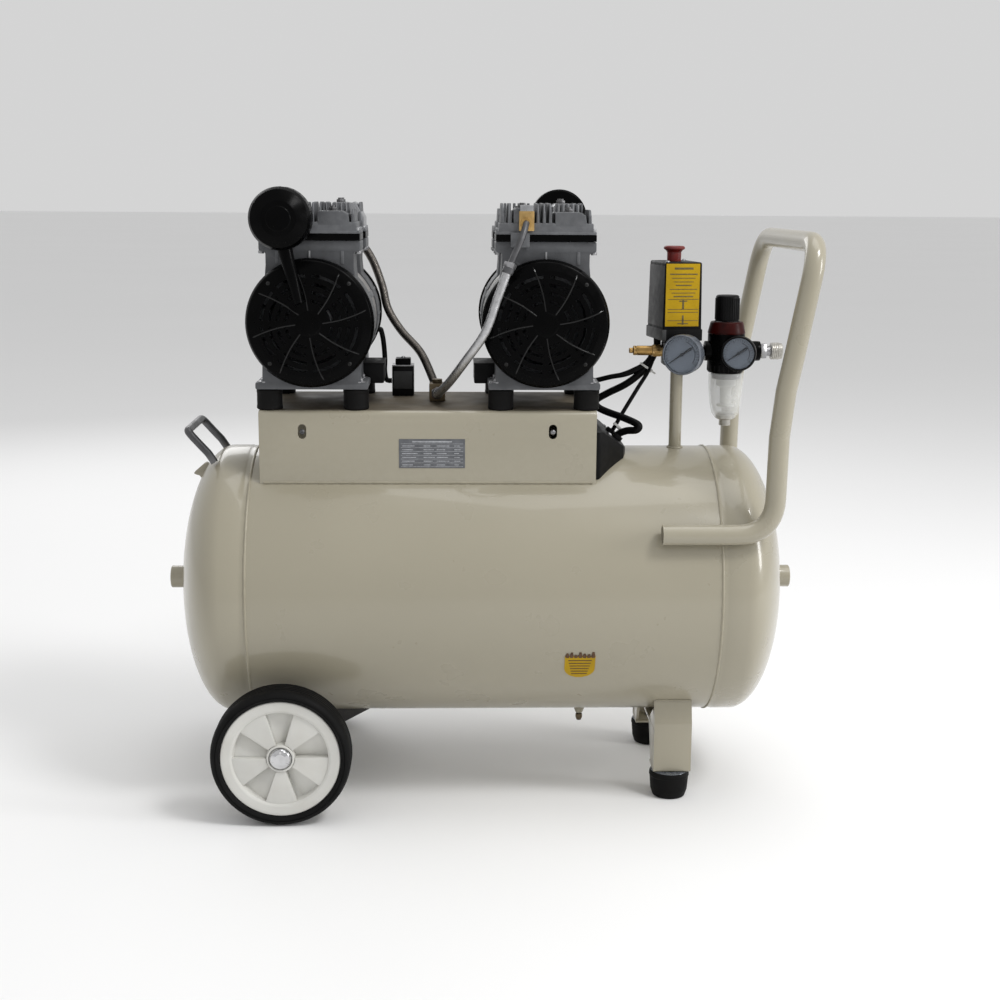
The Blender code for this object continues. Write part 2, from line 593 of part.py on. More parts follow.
# ---- pipes, boxes and cables -------------------------------------------------------------
def build_air_lines():
    """The tee with its check valve and the two braided discharge hoses that meet in it."""
    valve = drum("check_valve", 0.0078, TANK_Z + TANK_R + GAP, 0.4330, BRASS, sides=20,
                 location=(-0.0510, 0, 0))
    join(valve, block("check_valve_tee", (-0.0600, -0.0100, 0.4320), (-0.0420, 0.0100, 0.4520)))
    right = [(0.0420, -0.0864, 0.6286), (0.0415, -0.0960, 0.6270), (0.0363, -0.1060, 0.6117),
             (0.0257, -0.1140, 0.5888), (0.0125, -0.1165, 0.5540), (-0.0002, -0.1140, 0.5181),
             (-0.0200, -0.0960, 0.4870), (-0.0379, -0.0600, 0.4590), (-0.0495, -0.0320, 0.4440),
             (-0.0510, -0.0220, 0.4420), (-0.0510, -0.0160, 0.4420), (-0.0510, -0.0106, 0.4420)]
    left = [(-0.1610, 0.0864, 0.6286), (-0.1600, 0.0980, 0.6270), (-0.1480, 0.1080, 0.6130),
            (-0.1284, 0.1080, 0.5848), (-0.1160, 0.1000, 0.5541), (-0.1087, 0.0900, 0.5269),
            (-0.0930, 0.0760, 0.5030), (-0.0700, 0.0560, 0.4790), (-0.0545, 0.0340, 0.4480),
            (-0.0510, 0.0220, 0.4420), (-0.0510, 0.0160, 0.4420), (-0.0510, 0.0106, 0.4420)]
    tube("discharge_hose_right", flowing(right, 2), 0.0050, BRAID)
    tube("discharge_hose_left", flowing(left, 2), 0.0050, BRAID)


def build_electrics():
    """The junction box in the platform's open end, the solenoid valve and the cables."""
    plan = [(0.0950, -0.0800), (0.1240, -0.0800), (0.1540, -0.0420), (0.1570, -0.0300),
            (0.1570, 0.0300), (0.1540, 0.0420), (0.1240, 0.0800), (0.0950, 0.0800)]
    box = outline("junction_box", plan, 0.1000, BLACK, location=(0, 0, 0.3580))
    cut(box, tank_cutter("tank_under_box"),
        block("box_slope", (-0.0600, -0.2, 0), (0.0800, 0.2, 0.0500),
              location=(0.1300, 0, 0.4060), rotation=(0, math.radians(38), 0)))
    solenoid = block("solenoid_valve", (-0.1028, 0.0400, DECK_Z + GAP),
                     (-0.0780, 0.0640, 0.4660), BLACK, bevel=0.0015)
    join(solenoid, block("solenoid_plug", (-0.0990, 0.0430, 0.4600), (-0.0815, 0.0610, 0.4745)))
    cable = [(-0.1186, 0.0560, 0.5060), (-0.1172, 0.0560, 0.5060), (-0.1154, 0.0558, 0.5050),
             (-0.1128, 0.0540, 0.4930), (-0.1112, 0.0520, 0.4740), (-0.1115, 0.0520, 0.4600),
             (-0.1100, 0.0520, 0.4500), (-0.1070, 0.0520, 0.4480), (-0.1034, 0.0520, 0.4480)]
    tube("pump_cable_left", flowing(cable, 2), 0.0030, BLACK)
    top = [(0.1950, 0.0160, 0.4890), (0.1960, 0.0165, 0.5015)]
    motor_lead = [(0.1156, 0.0300, 0.4500), (0.1246, 0.0290, 0.4505), (0.1451, 0.0220, 0.4564),
                  (0.1643, 0.0170, 0.4610), (0.1840, 0.0155, 0.4720), *top]
    box_lead = [(0.1486, -0.0150, 0.3928), (0.1504, -0.0150, 0.3952), (0.1523, -0.0150, 0.3975),
                (0.1600, -0.0190, 0.4010), (0.1700, -0.0260, 0.4030), (0.1715, -0.0250, 0.4085),
                (0.1575, -0.0100, 0.4140), (0.1400, 0.0080, 0.4185),
                (0.1300, 0.0180, 0.4230), (0.1300, 0.0290, 0.4290), (0.1420, 0.0270, 0.4370),
                (0.1640, 0.0180, 0.4500), (0.1840, 0.0155, 0.4680), *top]
    thin_lead = [(0.1436, -0.0010, 0.3966), (0.1454, -0.0010, 0.3990), (0.1473, -0.0010, 0.4013),
                 (0.1560, -0.0030, 0.4179), (0.1728, 0.0020, 0.4450),
                 (0.1860, 0.0100, 0.4650), *top]
    harness = meshed(tube("wiring_harness", flowing(box_lead, 2), 0.0042), BLACK)
    join(harness, meshed(tube("motor_lead", flowing(motor_lead, 2), 0.0030)),
         meshed(tube("thin_lead", flowing(thin_lead, 2), 0.0024)))


build_tank()
build_platform()
build_handles()
build_feet()
build_axle()
for wheel_name, wheel_side in (("front", -1), ("rear", 1)):
    build_wheel(wheel_name, wheel_side)
build_pump("left", PUMP_X[0], 0.0)
build_pump("right", PUMP_X[1], math.pi)
build_manifold()
build_switch()
build_gauge("tank_gauge", (0.2118, -0.0600, 0.4895), GAUGE_TURN, 0.0220, 0.0175, 0.0365)
build_gauge("outlet_gauge", (0.2775, -0.0400, 0.4890), OUTLET_TURN, 0.0192, 0.0150, 0.0190)
build_regulator()
build_air_lines()
build_electrics()
turned("drain_valve", [(0, 0.0657), (0.0038, 0.0655), (0.0038, 0.0600), (0.0026, 0.0572),
                       (0, 0.0570)], BRASS, steps=16, location=(0.1135, 0, 0))
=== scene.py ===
"""Looks for a horizontal-tank air compressor with two double-ended oil-free pumps.

Frame: metres, +Z up, floor at Z = 0, the tank along X, the gauges facing -Y.
A solid is a bmesh. piece() gathers (solid, material) pairs in one mesh, which rides on a CAD
body and stands for the CAD node of the same name, if there is one. "place" is always the
matrix that moves a solid from its own axes, usually turned about Z, to the frame.
"""
from math import acos, cos, degrees, pi, radians, sin, sqrt, tan

import bmesh
import bpy
from mathutils import Euler, Matrix, Vector


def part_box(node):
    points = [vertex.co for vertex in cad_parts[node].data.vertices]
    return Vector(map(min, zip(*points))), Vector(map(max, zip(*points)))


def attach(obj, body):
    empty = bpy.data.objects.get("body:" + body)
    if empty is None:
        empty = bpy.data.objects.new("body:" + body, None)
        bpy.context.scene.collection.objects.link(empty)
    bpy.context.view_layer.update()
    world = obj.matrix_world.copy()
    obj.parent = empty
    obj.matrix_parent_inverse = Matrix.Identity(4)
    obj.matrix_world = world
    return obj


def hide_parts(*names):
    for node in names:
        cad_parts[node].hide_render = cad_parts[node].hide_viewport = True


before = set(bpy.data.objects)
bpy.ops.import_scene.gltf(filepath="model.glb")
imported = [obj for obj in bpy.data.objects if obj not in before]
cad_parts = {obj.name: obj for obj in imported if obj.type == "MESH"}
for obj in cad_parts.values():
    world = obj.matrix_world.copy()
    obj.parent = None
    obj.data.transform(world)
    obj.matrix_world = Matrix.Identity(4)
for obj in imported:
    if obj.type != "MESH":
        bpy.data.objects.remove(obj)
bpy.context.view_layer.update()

# ---- dimensions shared with the solids ----------------------------------------------------
TANK_R, TANK_Z, HEAD_X, DISH = 0.15, 0.23, 0.279, 0.055
DECK_X0, DECK_X1, DECK_HALF, DECK_Z = -0.2398, 0.12, 0.0855, 0.4315
PUMP_X, PUMP_Z = {"left": -0.183, "right": 0.0636}, 0.5246
WHEEL_X, WHEEL_R, WHEEL_FACE, TYRE_W, RIM_R = -0.215, 0.0742, 0.1733, 0.0393, 0.0633
FOOT_X, FOOT_Y, FOOT_HALF = 0.2095, 0.086, 0.0208
RISER_X, SWITCH_X, SWITCH_TURN, KNOB_X = 0.2165, 0.2122, radians(8), 0.21
REG_X, REG_Z, BOWL_X = 0.271, 0.4884, 0.2722
HANDLE_Y, HANDLE_Z, TUBE_R = 0.1405, 0.309, 0.0108
CHECK_X, DRAIN_X, SLOT_XS = -0.051, 0.1135, (-0.1938, 0.0731)
MOUNT_X, MOUNT_Y, HOSE_R = 0.046, 0.0692, 0.0047
PIPE_TOP = TANK_Z + TANK_R - 0.0005
SHARP, BEVEL_ABOVE = 35, 32  # degrees between two faces: crisp shading, rounded edges
DIAL_REST, DIAL_TICKS, TICK_STEP = 215, 26, 10  # degrees: the needle's zero, the scale
VANES, SECTORS = 5, 8  # of a wheel's face and of a fan cover
FLOOR_HALF, WORLD_LIGHT = 60, 0.66
LENS_MM, SENSOR_MM, CAMERA_AT = 55.11, 36, (-0.037, -1.7, 0.6547)
I4 = Matrix.Identity(4)
HALF = pi / 2
TO_X = Euler((0, HALF, 0)).to_matrix().to_4x4()
TO_Y = Euler((-HALF, 0, 0)).to_matrix().to_4x4()
TO_FRONT = Euler((HALF, 0, 0)).to_matrix().to_4x4()
ALONG_X = Euler((HALF, 0, HALF)).to_matrix().to_4x4()


def spin(turn, axis='Z'):
    return Matrix.Rotation(turn, 4, axis)


def at(x, y, z, turn=0.0):
    return Matrix.Translation((x, y, z)) @ spin(turn)


def angles(count):
    """Evenly spaced angles round a full turn."""
    return [2 * pi * i / count for i in range(count)]


def mirrored(profile):
    """A profile of (radius, height), then its mirror image below height 0."""
    return [*profile, *((r, -h) for r, h in reversed(profile))]


def both_sides(outline):
    """An outline of (x, z) on the right, then its mirror image on the left."""
    return [*outline, *((-x, z) for x, z in reversed(outline))]


def linked(name, data):
    """A new object in the scene."""
    obj = bpy.data.objects.new(name, data)
    bpy.context.scene.collection.objects.link(obj)
    return obj


# ---- materials ----------------------------------------------------------------------------
class Look:
    """A procedural material: a principled shader with noise-driven colour, gloss and relief."""

    def __init__(self, name, colour, roughness, metallic=0.0, specular=0.5, **sockets):
        self.mat = bpy.data.materials.new(name)
        self.mat.use_nodes = True
        self.tree = self.mat.node_tree
        self.shader = self.tree.nodes["Principled BSDF"]
        self.colour, self.roughness = colour, roughness
        self.paint = None
        self.height = None
        self.shader.inputs["Base Color"].default_value = (*colour, 1)
        self.shader.inputs["Roughness"].default_value = roughness
        self.shader.inputs["Metallic"].default_value = metallic
        self.shader.inputs["Specular IOR Level"].default_value = specular
        for key, value in sockets.items():
            self.shader.inputs[key.replace("_", " ")].default_value = value
        self.coords = self.node("TexCoord")

    def node(self, kind, inputs=None, **settings):
        made = self.tree.nodes.new("ShaderNode" + kind)
        for key, value in settings.items():
            setattr(made, key, value)
        for key, value in (inputs or {}).items():
            if hasattr(value, "is_output"):
                self.tree.links.new(value, made.inputs[key])
            else:
                made.inputs[key].default_value = value
        return made

    def where(self, stretch=(1, 1, 1), source="Object", turn=(0, 0, 0)):
        return self.node("Mapping", {"Vector": self.coords.outputs[source], "Scale": stretch,
            "Rotation": turn}).outputs[0]

    def noise(self, scale, detail=3.0, **place):
        return self.node("TexNoise", {"Vector": self.where(**place), "Scale": scale,
            "Detail": detail}).outputs["Fac"]

    def range(self, value, low, high, out_low=0.0, out_high=1.0):
        return self.node("MapRange", {"Value": value, "From Min": low, "From Max": high,
            "To Min": out_low, "To Max": out_high}).outputs[0]

    def math(self, kind, a, b):
        return self.node("Math", {0: a, 1: b}, operation=kind).outputs[0]

    def mixed(self, amount, colour):
        """Lays a colour over the paint by an amount from 0 to 1."""
        under = self.paint if self.paint else (*self.colour, 1)
        mix = self.node("Mix", {"Factor": amount}, data_type='RGBA')
        for socket, value in ((mix.inputs[6], under), (mix.inputs[7], colour)):
            if hasattr(value, "is_output"):
                self.tree.links.new(value, socket)
            else:
                socket.default_value = value if len(value) == 4 else (*value, 1)
        self.paint = mix.outputs[2]
        return self

    def vary(self, scale, share, detail=4.0, **place):
        """Mottles the paint lighter and darker by a share of its own colour."""
        tone = self.noise(scale, detail, **place)
        dark = [c * (1 - share) for c in self.colour]
        light = [min(1.0, c * (1 + share)) for c in self.colour]
        self.mixed(self.range(tone, 0.35, 0.5, 1, 0), dark)
        return self.mixed(self.range(tone, 0.5, 0.68), light)

    def worn(self, colour, amount=0.6):
        """Shows another colour along convex edges."""
        edge = self.node("NewGeometry").outputs["Pointiness"]
        edge = self.range(edge, 0.53, 0.62, 0, amount)
        return self.mixed(self.math('MULTIPLY', edge, self.noise(180.0)), colour)

    def dusty(self, colour, amount, scale=14.0):
        patch = self.range(self.noise(scale, 6.0), 0.45, 0.75, 0, amount)
        return self.mixed(patch, colour)

    def gloss(self, scale, low, high, **place):
        rough = self.range(self.noise(scale, 4.0, **place), 0.3, 0.7, low, high)
        self.tree.links.new(rough, self.shader.inputs["Roughness"])
        return self

    def relief(self, value, depth):
        """Adds a height, in metres, to the surface relief."""
        scaled = self.math('MULTIPLY', value, depth)
        self.height = self.math('ADD', self.height, scaled) if self.height else scaled
        return self

    def grain(self, scale, depth, detail=3.0, **place):
        return self.relief(self.noise(scale, detail, **place), depth)

    def done(self):
        if self.paint:
            self.tree.links.new(self.paint, self.shader.inputs["Base Color"])
        if self.height:
            bump = self.node("Bump", {"Strength": 1.0, "Distance": 1.0, "Height": self.height})
            self.tree.links.new(bump.outputs[0], self.shader.inputs["Normal"])
        return self.mat


def wave(look, scale, **place):
    return look.node("TexWave", {"Vector": look.where(**place), "Scale": scale},
        wave_type='BANDS').outputs["Fac"]


CREAM = (Look("cream_paint", (0.33, 0.302, 0.228), 0.3, Coat_Weight=0.5, Coat_Roughness=0.06)
    .vary(5, 0.02).dusty((0.29, 0.262, 0.195), 0.12, 4).worn((0.44, 0.41, 0.33), 0.3)
    .gloss(20, 0.26, 0.34).grain(520, 0.00003, 2).grain(26, 0.0001, 1).done())
WELD = (Look("painted_weld", (0.33, 0.302, 0.228), 0.36).vary(60, 0.08).gloss(300, 0.3, 0.5)
    .grain(900, 0.0004).done())
OFF_WHITE = (Look("off_white_nylon", (0.62, 0.615, 0.58), 0.42).vary(25, 0.03)
    .dusty((0.5, 0.47, 0.41), 0.3, 30).gloss(90, 0.36, 0.5).grain(700, 0.00005).done())
TYRE = (Look("tyre_rubber", (0.0045, 0.0045, 0.0045), 0.62, specular=0.12).vary(30, 0.3)
    .dusty((0.01, 0.0095, 0.009), 0.4, 40).gloss(60, 0.5, 0.75).grain(1400, 0.00008).done())
RUBBER = (Look("black_rubber", (0.004, 0.0038, 0.0038), 0.6, specular=0.12).vary(40, 0.3)
    .dusty((0.01, 0.009, 0.008), 0.3, 60).gloss(80, 0.5, 0.72).grain(1500, 0.00006).done())
GLOSS_BLACK = (Look("gloss_black_abs", (0.001, 0.001, 0.0011), 0.26, specular=0.05).vary(50, 0.3)
    .dusty((0.003, 0.003, 0.003), 0.2, 70).gloss(120, 0.2, 0.34).grain(900, 0.00002).done())
RIB_BLACK = (Look("polished_black_abs", (0.0012, 0.0012, 0.0013), 0.16, specular=0.35)
    .vary(50, 0.3).gloss(160, 0.1, 0.24).grain(900, 0.00001).done())
AGED_BRASS = (Look("aged_brass", (0.105, 0.08, 0.05), 0.4, 0.8).vary(90, 0.2)
    .worn((0.4, 0.31, 0.18), 0.5).gloss(200, 0.3, 0.5).grain(700, 0.00006).done())
# Painted shade: a dark brown look for the deck's top, darker still in patches, standing for the
# shadow under and between the pumps.
DECK_PAINTED_SHADE = (Look("deck_painted_shade", (0.135, 0.115, 0.085), 0.6, specular=0.15).vary(12, 0.3)
    .dusty((0.06, 0.05, 0.036), 0.7, 9).gloss(40, 0.5, 0.7).grain(700, 0.00008).done())
BLACK = (Look("black_nylon", (0.0035, 0.0035, 0.0038), 0.42, specular=0.12).vary(60, 0.25)
    .dusty((0.009, 0.0085, 0.008), 0.25, 50).gloss(120, 0.36, 0.55).grain(1600, 0.00004).done())
CABLE = (Look("black_pvc", (0.003, 0.003, 0.0032), 0.4, specular=0.12).vary(80, 0.3)
    .gloss(90, 0.32, 0.5).grain(700, 0.00004).done())
BLACK_STEEL = (Look("black_steel", (0.008, 0.008, 0.0085), 0.45, 0.3).vary(40, 0.25)
    .worn((0.12, 0.11, 0.1), 0.6).gloss(90, 0.36, 0.6).grain(900, 0.00006).done())
GREY_ABS = (Look("grey_abs", (0.046, 0.047, 0.048), 0.45, specular=0.3).vary(50, 0.12)
    .gloss(120, 0.38, 0.55).grain(1500, 0.00005).done())
CAST = (Look("cast_aluminium", (0.088, 0.091, 0.097), 0.46, 0.4).vary(35, 0.16)
    .dusty((0.045, 0.045, 0.048), 0.5, 25).worn((0.42, 0.43, 0.45), 0.6).gloss(150, 0.42, 0.62)
    .grain(1300, 0.00018, 4).grain(260, 0.0002, 2).done())
BRIGHT = (Look("machined_aluminium", (0.24, 0.245, 0.255), 0.38, 0.6).vary(60, 0.12)
    .dusty((0.12, 0.12, 0.125), 0.35, 60).worn((0.85, 0.85, 0.86), 0.6).gloss(150, 0.26, 0.45)
    .grain(900, 0.00008).done())
LAMINATION = (Look("steel_laminations", (0.3, 0.29, 0.28), 0.42, 0.8).vary(60, 0.2)
    .gloss(200, 0.35, 0.55))
LAMINATION.relief(wave(LAMINATION, 320, source="Object", turn=(0, 0, HALF)), 0.0003)
LAMINATION = LAMINATION.done()
STEEL = (Look("zinc_steel", (0.3, 0.3, 0.31), 0.34, 0.9).vary(120, 0.15)
    .worn((0.8, 0.8, 0.8), 0.5).gloss(250, 0.25, 0.42).grain(800, 0.00006).done())
CHROME = (Look("chrome", (0.62, 0.62, 0.63), 0.1, 1.0).vary(80, 0.1).gloss(160, 0.08, 0.2)
    .grain(300, 0.00001).done())
BRASS = (Look("brass", (0.46, 0.285, 0.095), 0.34, 0.9).vary(90, 0.2)
    .dusty((0.2, 0.11, 0.05), 0.45, 80).worn((0.85, 0.68, 0.38), 0.6).gloss(200, 0.26, 0.46)
    .grain(700, 0.00005).done())
RED = (Look("red_abs", (0.165, 0.01, 0.007), 0.4).vary(90, 0.25)
    .dusty((0.05, 0.006, 0.005), 0.5, 60).worn((0.34, 0.06, 0.04), 0.5).gloss(150, 0.32, 0.5)
    .grain(1200, 0.00005).done())
YELLOW = (Look("yellow_label", (0.42, 0.262, 0.004), 0.42, specular=0.2).vary(45, 0.08)
    .dusty((0.32, 0.19, 0.004), 0.25, 60).gloss(90, 0.35, 0.5).grain(500, 0.00003).done())
INK = (Look("label_ink", (0.1, 0.075, 0.02), 0.5).vary(300, 0.3).gloss(200, 0.45, 0.6)
    .grain(800, 0.00002).done())
PLATE = (Look("label_foil", (0.125, 0.13, 0.14), 0.4, 0.4).vary(120, 0.15).gloss(200, 0.32, 0.5)
    .grain(900, 0.00003).done())
PLATE_INK = (Look("foil_ink", (0.36, 0.37, 0.39), 0.4, 0.3).vary(400, 0.25).gloss(300, 0.35, 0.5)
    .grain(900, 0.00002).done())
DIAL = (Look("dial_face", (0.15, 0.176, 0.215), 0.4).vary(60, 0.06).gloss(120, 0.35, 0.5)
    .grain(900, 0.00002).done())
DIAL_INK = (Look("dial_ink", (0.004, 0.0042, 0.005), 0.5).vary(300, 0.2).gloss(200, 0.45, 0.6)
    .grain(900, 0.00001).done())
DARK_RED = (Look("dark_red_abs", (0.03, 0.0018, 0.0012), 0.4, specular=0.12).vary(90, 0.4)
    .worn((0.14, 0.015, 0.01), 0.6).gloss(150, 0.32, 0.5).grain(1200, 0.00005).done())
TIE = (Look("white_tie", (0.7, 0.7, 0.68), 0.4).vary(200, 0.05).gloss(200, 0.35, 0.5)
    .grain(1500, 0.00004).done())


def braided(colour=(0.52, 0.52, 0.53)):
    """Woven wire: two families of wires that cross over each other along the hose."""
    look = Look("steel_braid", colour, 0.26, 0.95).vary(150, 0.12)
    one = wave(look, 1.0, source="UV", stretch=(14, 600, 1), turn=(0, 0, 0.62))
    two = wave(look, 1.0, source="UV", stretch=(14, 600, 1), turn=(0, 0, -0.62))
    weave = look.math('MAXIMUM', one, two)
    look.relief(weave, 0.00006)
    # Darker between the wires: painted shade in the hollows of the weave.
    look.mixed(look.range(weave, 0.0, 0.5, 0.5, 0), [c * 0.35 for c in colour])
    return look.gloss(200, 0.24, 0.36).done()


STICKER_DARK = (Look("sticker_brown", (0.075, 0.03, 0.006), 0.45).vary(300, 0.3)
    .gloss(200, 0.4, 0.55).grain(800, 0.00003).done())
DIAL_CASE = (Look("gauge_case", (0.13, 0.145, 0.17), 0.3, 0.5).vary(90, 0.1)
    .worn((0.4, 0.42, 0.46), 0.4).gloss(160, 0.22, 0.38).grain(700, 0.00004).done())
SATIN = (Look("satin_nickel", (0.4, 0.385, 0.35), 0.36, 0.5).vary(120, 0.12)
    .worn((0.85, 0.85, 0.85), 0.5).gloss(200, 0.26, 0.42).grain(700, 0.00005).done())
GUNMETAL = (Look("gunmetal_steel", (0.1, 0.1, 0.105), 0.38, 0.6).vary(60, 0.25)
    .dusty((0.03, 0.03, 0.032), 0.6, 22).worn((0.35, 0.34, 0.33), 0.6).gloss(90, 0.3, 0.5)
    .grain(700, 0.00008).done())


def clear(name, colour, roughness, see_through):
    """A clear shell: a glossy surface over a mostly transparent one."""
    look = Look(name, colour, roughness, Alpha=see_through, IOR=1.45)
    look.vary(40, 0.05).gloss(60, roughness * 0.7, roughness * 1.6).grain(90, 0.00002)
    return look.done()


BRAID = braided()
# A darker copy of the braid for the left pump's hose, which runs behind the pumps: painted shade.
BRAID_PAINTED_SHADE = braided((0.115, 0.105, 0.095))
BOWL = clear("clear_polycarbonate", (0.8, 0.81, 0.8), 0.08, 0.3)
GLASS = clear("gauge_glass", (0.3, 0.34, 0.4), 0.05, 0.06)


# ---- solids -------------------------------------------------------------------------------
def fillet(points, radius, steps=4, cyclic=False):
    """The path, flat or in space, with its corners rounded."""
    pts = [Vector(p) for p in points]
    count = len(pts)
    out = []
    for i, corner in enumerate(pts):
        if not cyclic and i in (0, count - 1):
            out.append(corner)
            continue
        before, after = pts[i - 1] - corner, pts[(i + 1) % count] - corner
        angle = before.angle(after)
        if angle > pi - 0.05 or angle < 0.02:
            out.append(corner)
            continue
        reach = min(radius / tan(angle / 2), before.length * 0.49, after.length * 0.49)
        start, end = corner + before.normalized() * reach, corner + after.normalized() * reach
        for k in range(steps + 1):
            t = k / steps
            out.append(start * (1 - t) ** 2 + corner * 2 * t * (1 - t) + end * t ** 2)
    return out


def flowing(points, per_span=6):
    """Points on a smooth curve through the given ones."""
    pts = [Vector(p) for p in points]
    pts = [2 * pts[0] - pts[1], *pts, 2 * pts[-1] - pts[-2]]
    out = []
    for a, b, c, d in zip(pts, pts[1:], pts[2:], pts[3:]):
        for i in range(per_span):
            t = i / per_span
            out.append(0.5 * (2 * b + (c - a) * t + (2 * a - 5 * b + 4 * c - d) * t ** 2
                + (3 * b - a - 3 * c + d) * t ** 3))
    return out + [pts[-2]]


def placed(bm, place):
    bm.transform(place)
    return bm


def bevelled(bm, width, segments=2):
    """Rounds every sharp edge."""
    if width:
        edges = [e for e in bm.edges if len(e.link_faces) == 2
            and e.calc_face_angle(0) > radians(BEVEL_ABOVE)]
        bmesh.ops.bevel(bm, geom=edges, offset=width, segments=segments, profile=0.6,
            affect='EDGES', clamp_overlap=True)
    return bm


def box(low, high, bevel=0.0008, place=I4, segments=2):
    bm = bmesh.new()
    bmesh.ops.create_cube(bm, size=1.0)
    low, high = Vector(low), Vector(high)
    for v in bm.verts:
        v.co = (low + high) / 2 + Vector(a * b for a, b in zip(v.co, high - low))
    return placed(bevelled(bm, bevel, segments), place)


def lathe(profile, steps=48, ring=False, place=I4):
    """A profile of (radius, height), down its outer side, turned about local Z."""
    bm = bmesh.new()
    rings = []
    for r, h in profile:
        if r < 1e-7:
            rings.append([bm.verts.new((0, 0, h))])
        else:
            rings.append([bm.verts.new((r * cos(a), r * sin(a), h)) for a in angles(steps)])
    pairs = list(zip(rings, rings[1:])) + ([(rings[-1], rings[0])] if ring else [])
    for a, b in pairs:
        for i in range(steps):
            j = (i + 1) % steps
            loop = [a[i % len(a)], b[i % len(b)], b[j % len(b)], a[j % len(a)]]
            loop = list(dict.fromkeys(loop))
            if len(loop) > 2:
                bm.faces.new(loop)
    bmesh.ops.recalc_face_normals(bm, faces=bm.faces)
    return placed(bm, place)


def drum(radius, low, high, edge=0.0005, steps=40, place=I4):
    """A short cylinder with eased edges."""
    return lathe(fillet([(0, high), (radius, high), (radius, low), (0, low)], edge, 2), steps,
        place=place)


def hexagon(across, low, high, place=I4):
    """A hexagonal head with its corners chamfered as on a turned nut."""
    outer = across / cos(pi / 6) / 2
    bm = bmesh.new()
    bmesh.ops.create_cone(bm, cap_ends=True, segments=6, radius1=outer, radius2=outer, depth=high
        - low)
    bmesh.ops.translate(bm, verts=bm.verts, vec=(0, 0, (low + high) / 2))
    return placed(bevelled(bm, across * 0.045, 2), place)


def prism(points, depth, bevel=0.0, holes=(), place=I4, segments=2):
    """A flat outline in local XY with holes, extruded to both sides."""
    curve = bpy.data.curves.new("outline", 'CURVE')
    curve.dimensions = '2D'
    curve.fill_mode = 'BOTH'
    curve.extrude = depth / 2
    for loop in (points, *holes):
        spline = curve.splines.new('POLY')
        spline.points.add(len(loop) - 1)
        for point, p in zip(spline.points, loop):
            point.co = (p[0], p[1], 0, 1)
        spline.use_cyclic_u = True
    guide = linked("outline", curve)
    bpy.context.view_layer.update()
    mesh = bpy.data.meshes.new_from_object(guide.evaluated_get(bpy.context.evaluated_depsgraph_get(
        )))
    bm = bmesh.new()
    bm.from_mesh(mesh)
    bpy.data.objects.remove(guide, do_unlink=True)
    bpy.data.curves.remove(curve)
    bpy.data.meshes.remove(mesh)
    bmesh.ops.remove_doubles(bm, verts=bm.verts, dist=0.000001)
    bmesh.ops.recalc_face_normals(bm, faces=bm.faces)
    bmesh.ops.dissolve_limit(bm, angle_limit=0.001, verts=bm.verts, edges=bm.edges)
    return placed(bevelled(bm, bevel, segments), place)


def sweep(points, radius, sides=16, place=I4, closed=False):
    """A round bar along the points; radius is a number or one for each point. UV V is metres."""
    pts = [Vector(p) for p in points]
    count = len(pts)
    radii = radius if isinstance(radius, (list, tuple)) else [radius] * count
    bm = bmesh.new()
    uv = bm.loops.layers.uv.new("UVMap")
    tangents = []
    for i in range(count):
        a = pts[i - 1] if closed or i else pts[0]
        b = pts[(i + 1) % count] if closed or i < count - 1 else pts[-1]
        tangents.append((b - a).normalized())
    normal = tangents[0].orthogonal().normalized()
    rings, lengths = [], [0.0]
    for i, (p, t, r) in enumerate(zip(pts, tangents, radii)):
        if i:
            normal = tangents[i - 1].rotation_difference(t) @ normal
            lengths.append(lengths[-1] + (p - pts[i - 1]).length)
        normal = (normal - t * normal.dot(t)).normalized()
        side = t.cross(normal)
        rings.append([bm.verts.new(p + (normal * cos(a) + side * sin(a)) * r)
            for a in angles(sides)])
    spans = list(range(count - 1)) + ([count - 1] if closed else [])
    for i in spans:
        a, b = rings[i], rings[(i + 1) % count]
        top = lengths[i + 1] if i + 1 < count else lengths[i] + (pts[0] - pts[i]).length
        for k in range(sides):
            n = (k + 1) % sides
            face = bm.faces.new((a[k], a[n], b[n], b[k]))
            for loop, (u, v) in zip(face.loops, ((k, lengths[i]), (k + 1, lengths[i]),
                    (k + 1, top), (k, top))):
                loop[uv].uv = (u / sides, v)
    if not closed:
        bm.faces.new(reversed(rings[0]))
        bm.faces.new(rings[-1])
    bmesh.ops.recalc_face_normals(bm, faces=bm.faces)
    return placed(bm, place)


def as_object(bm):
    mesh = bpy.data.meshes.new("solid")
    bm.to_mesh(mesh)
    bm.free()
    return linked("solid", mesh)


def cut(bm, *others):
    """bm with the others taken out of it."""
    obj = as_object(bm)
    tools = [as_object(other) for other in others]
    for tool in tools:
        mod = obj.modifiers.new("cut", 'BOOLEAN')
        mod.operation = 'DIFFERENCE'
        mod.solver = 'EXACT'
        mod.object = tool
    bpy.context.view_layer.update()
    mesh = bpy.data.meshes.new_from_object(obj.evaluated_get(bpy.context.evaluated_depsgraph_get(
        )))
    out = bmesh.new()
    out.from_mesh(mesh)
    for item in (obj, *tools):
        bpy.data.objects.remove(item, do_unlink=True)
    return out


def around(bm, count, place, look, first=0.0):
    """Copies of a solid, evenly turned about the place's Z."""
    made = [(placed(bm.copy(), place @ spin(first + a)), look) for a in angles(count)]
    bm.free()
    return made


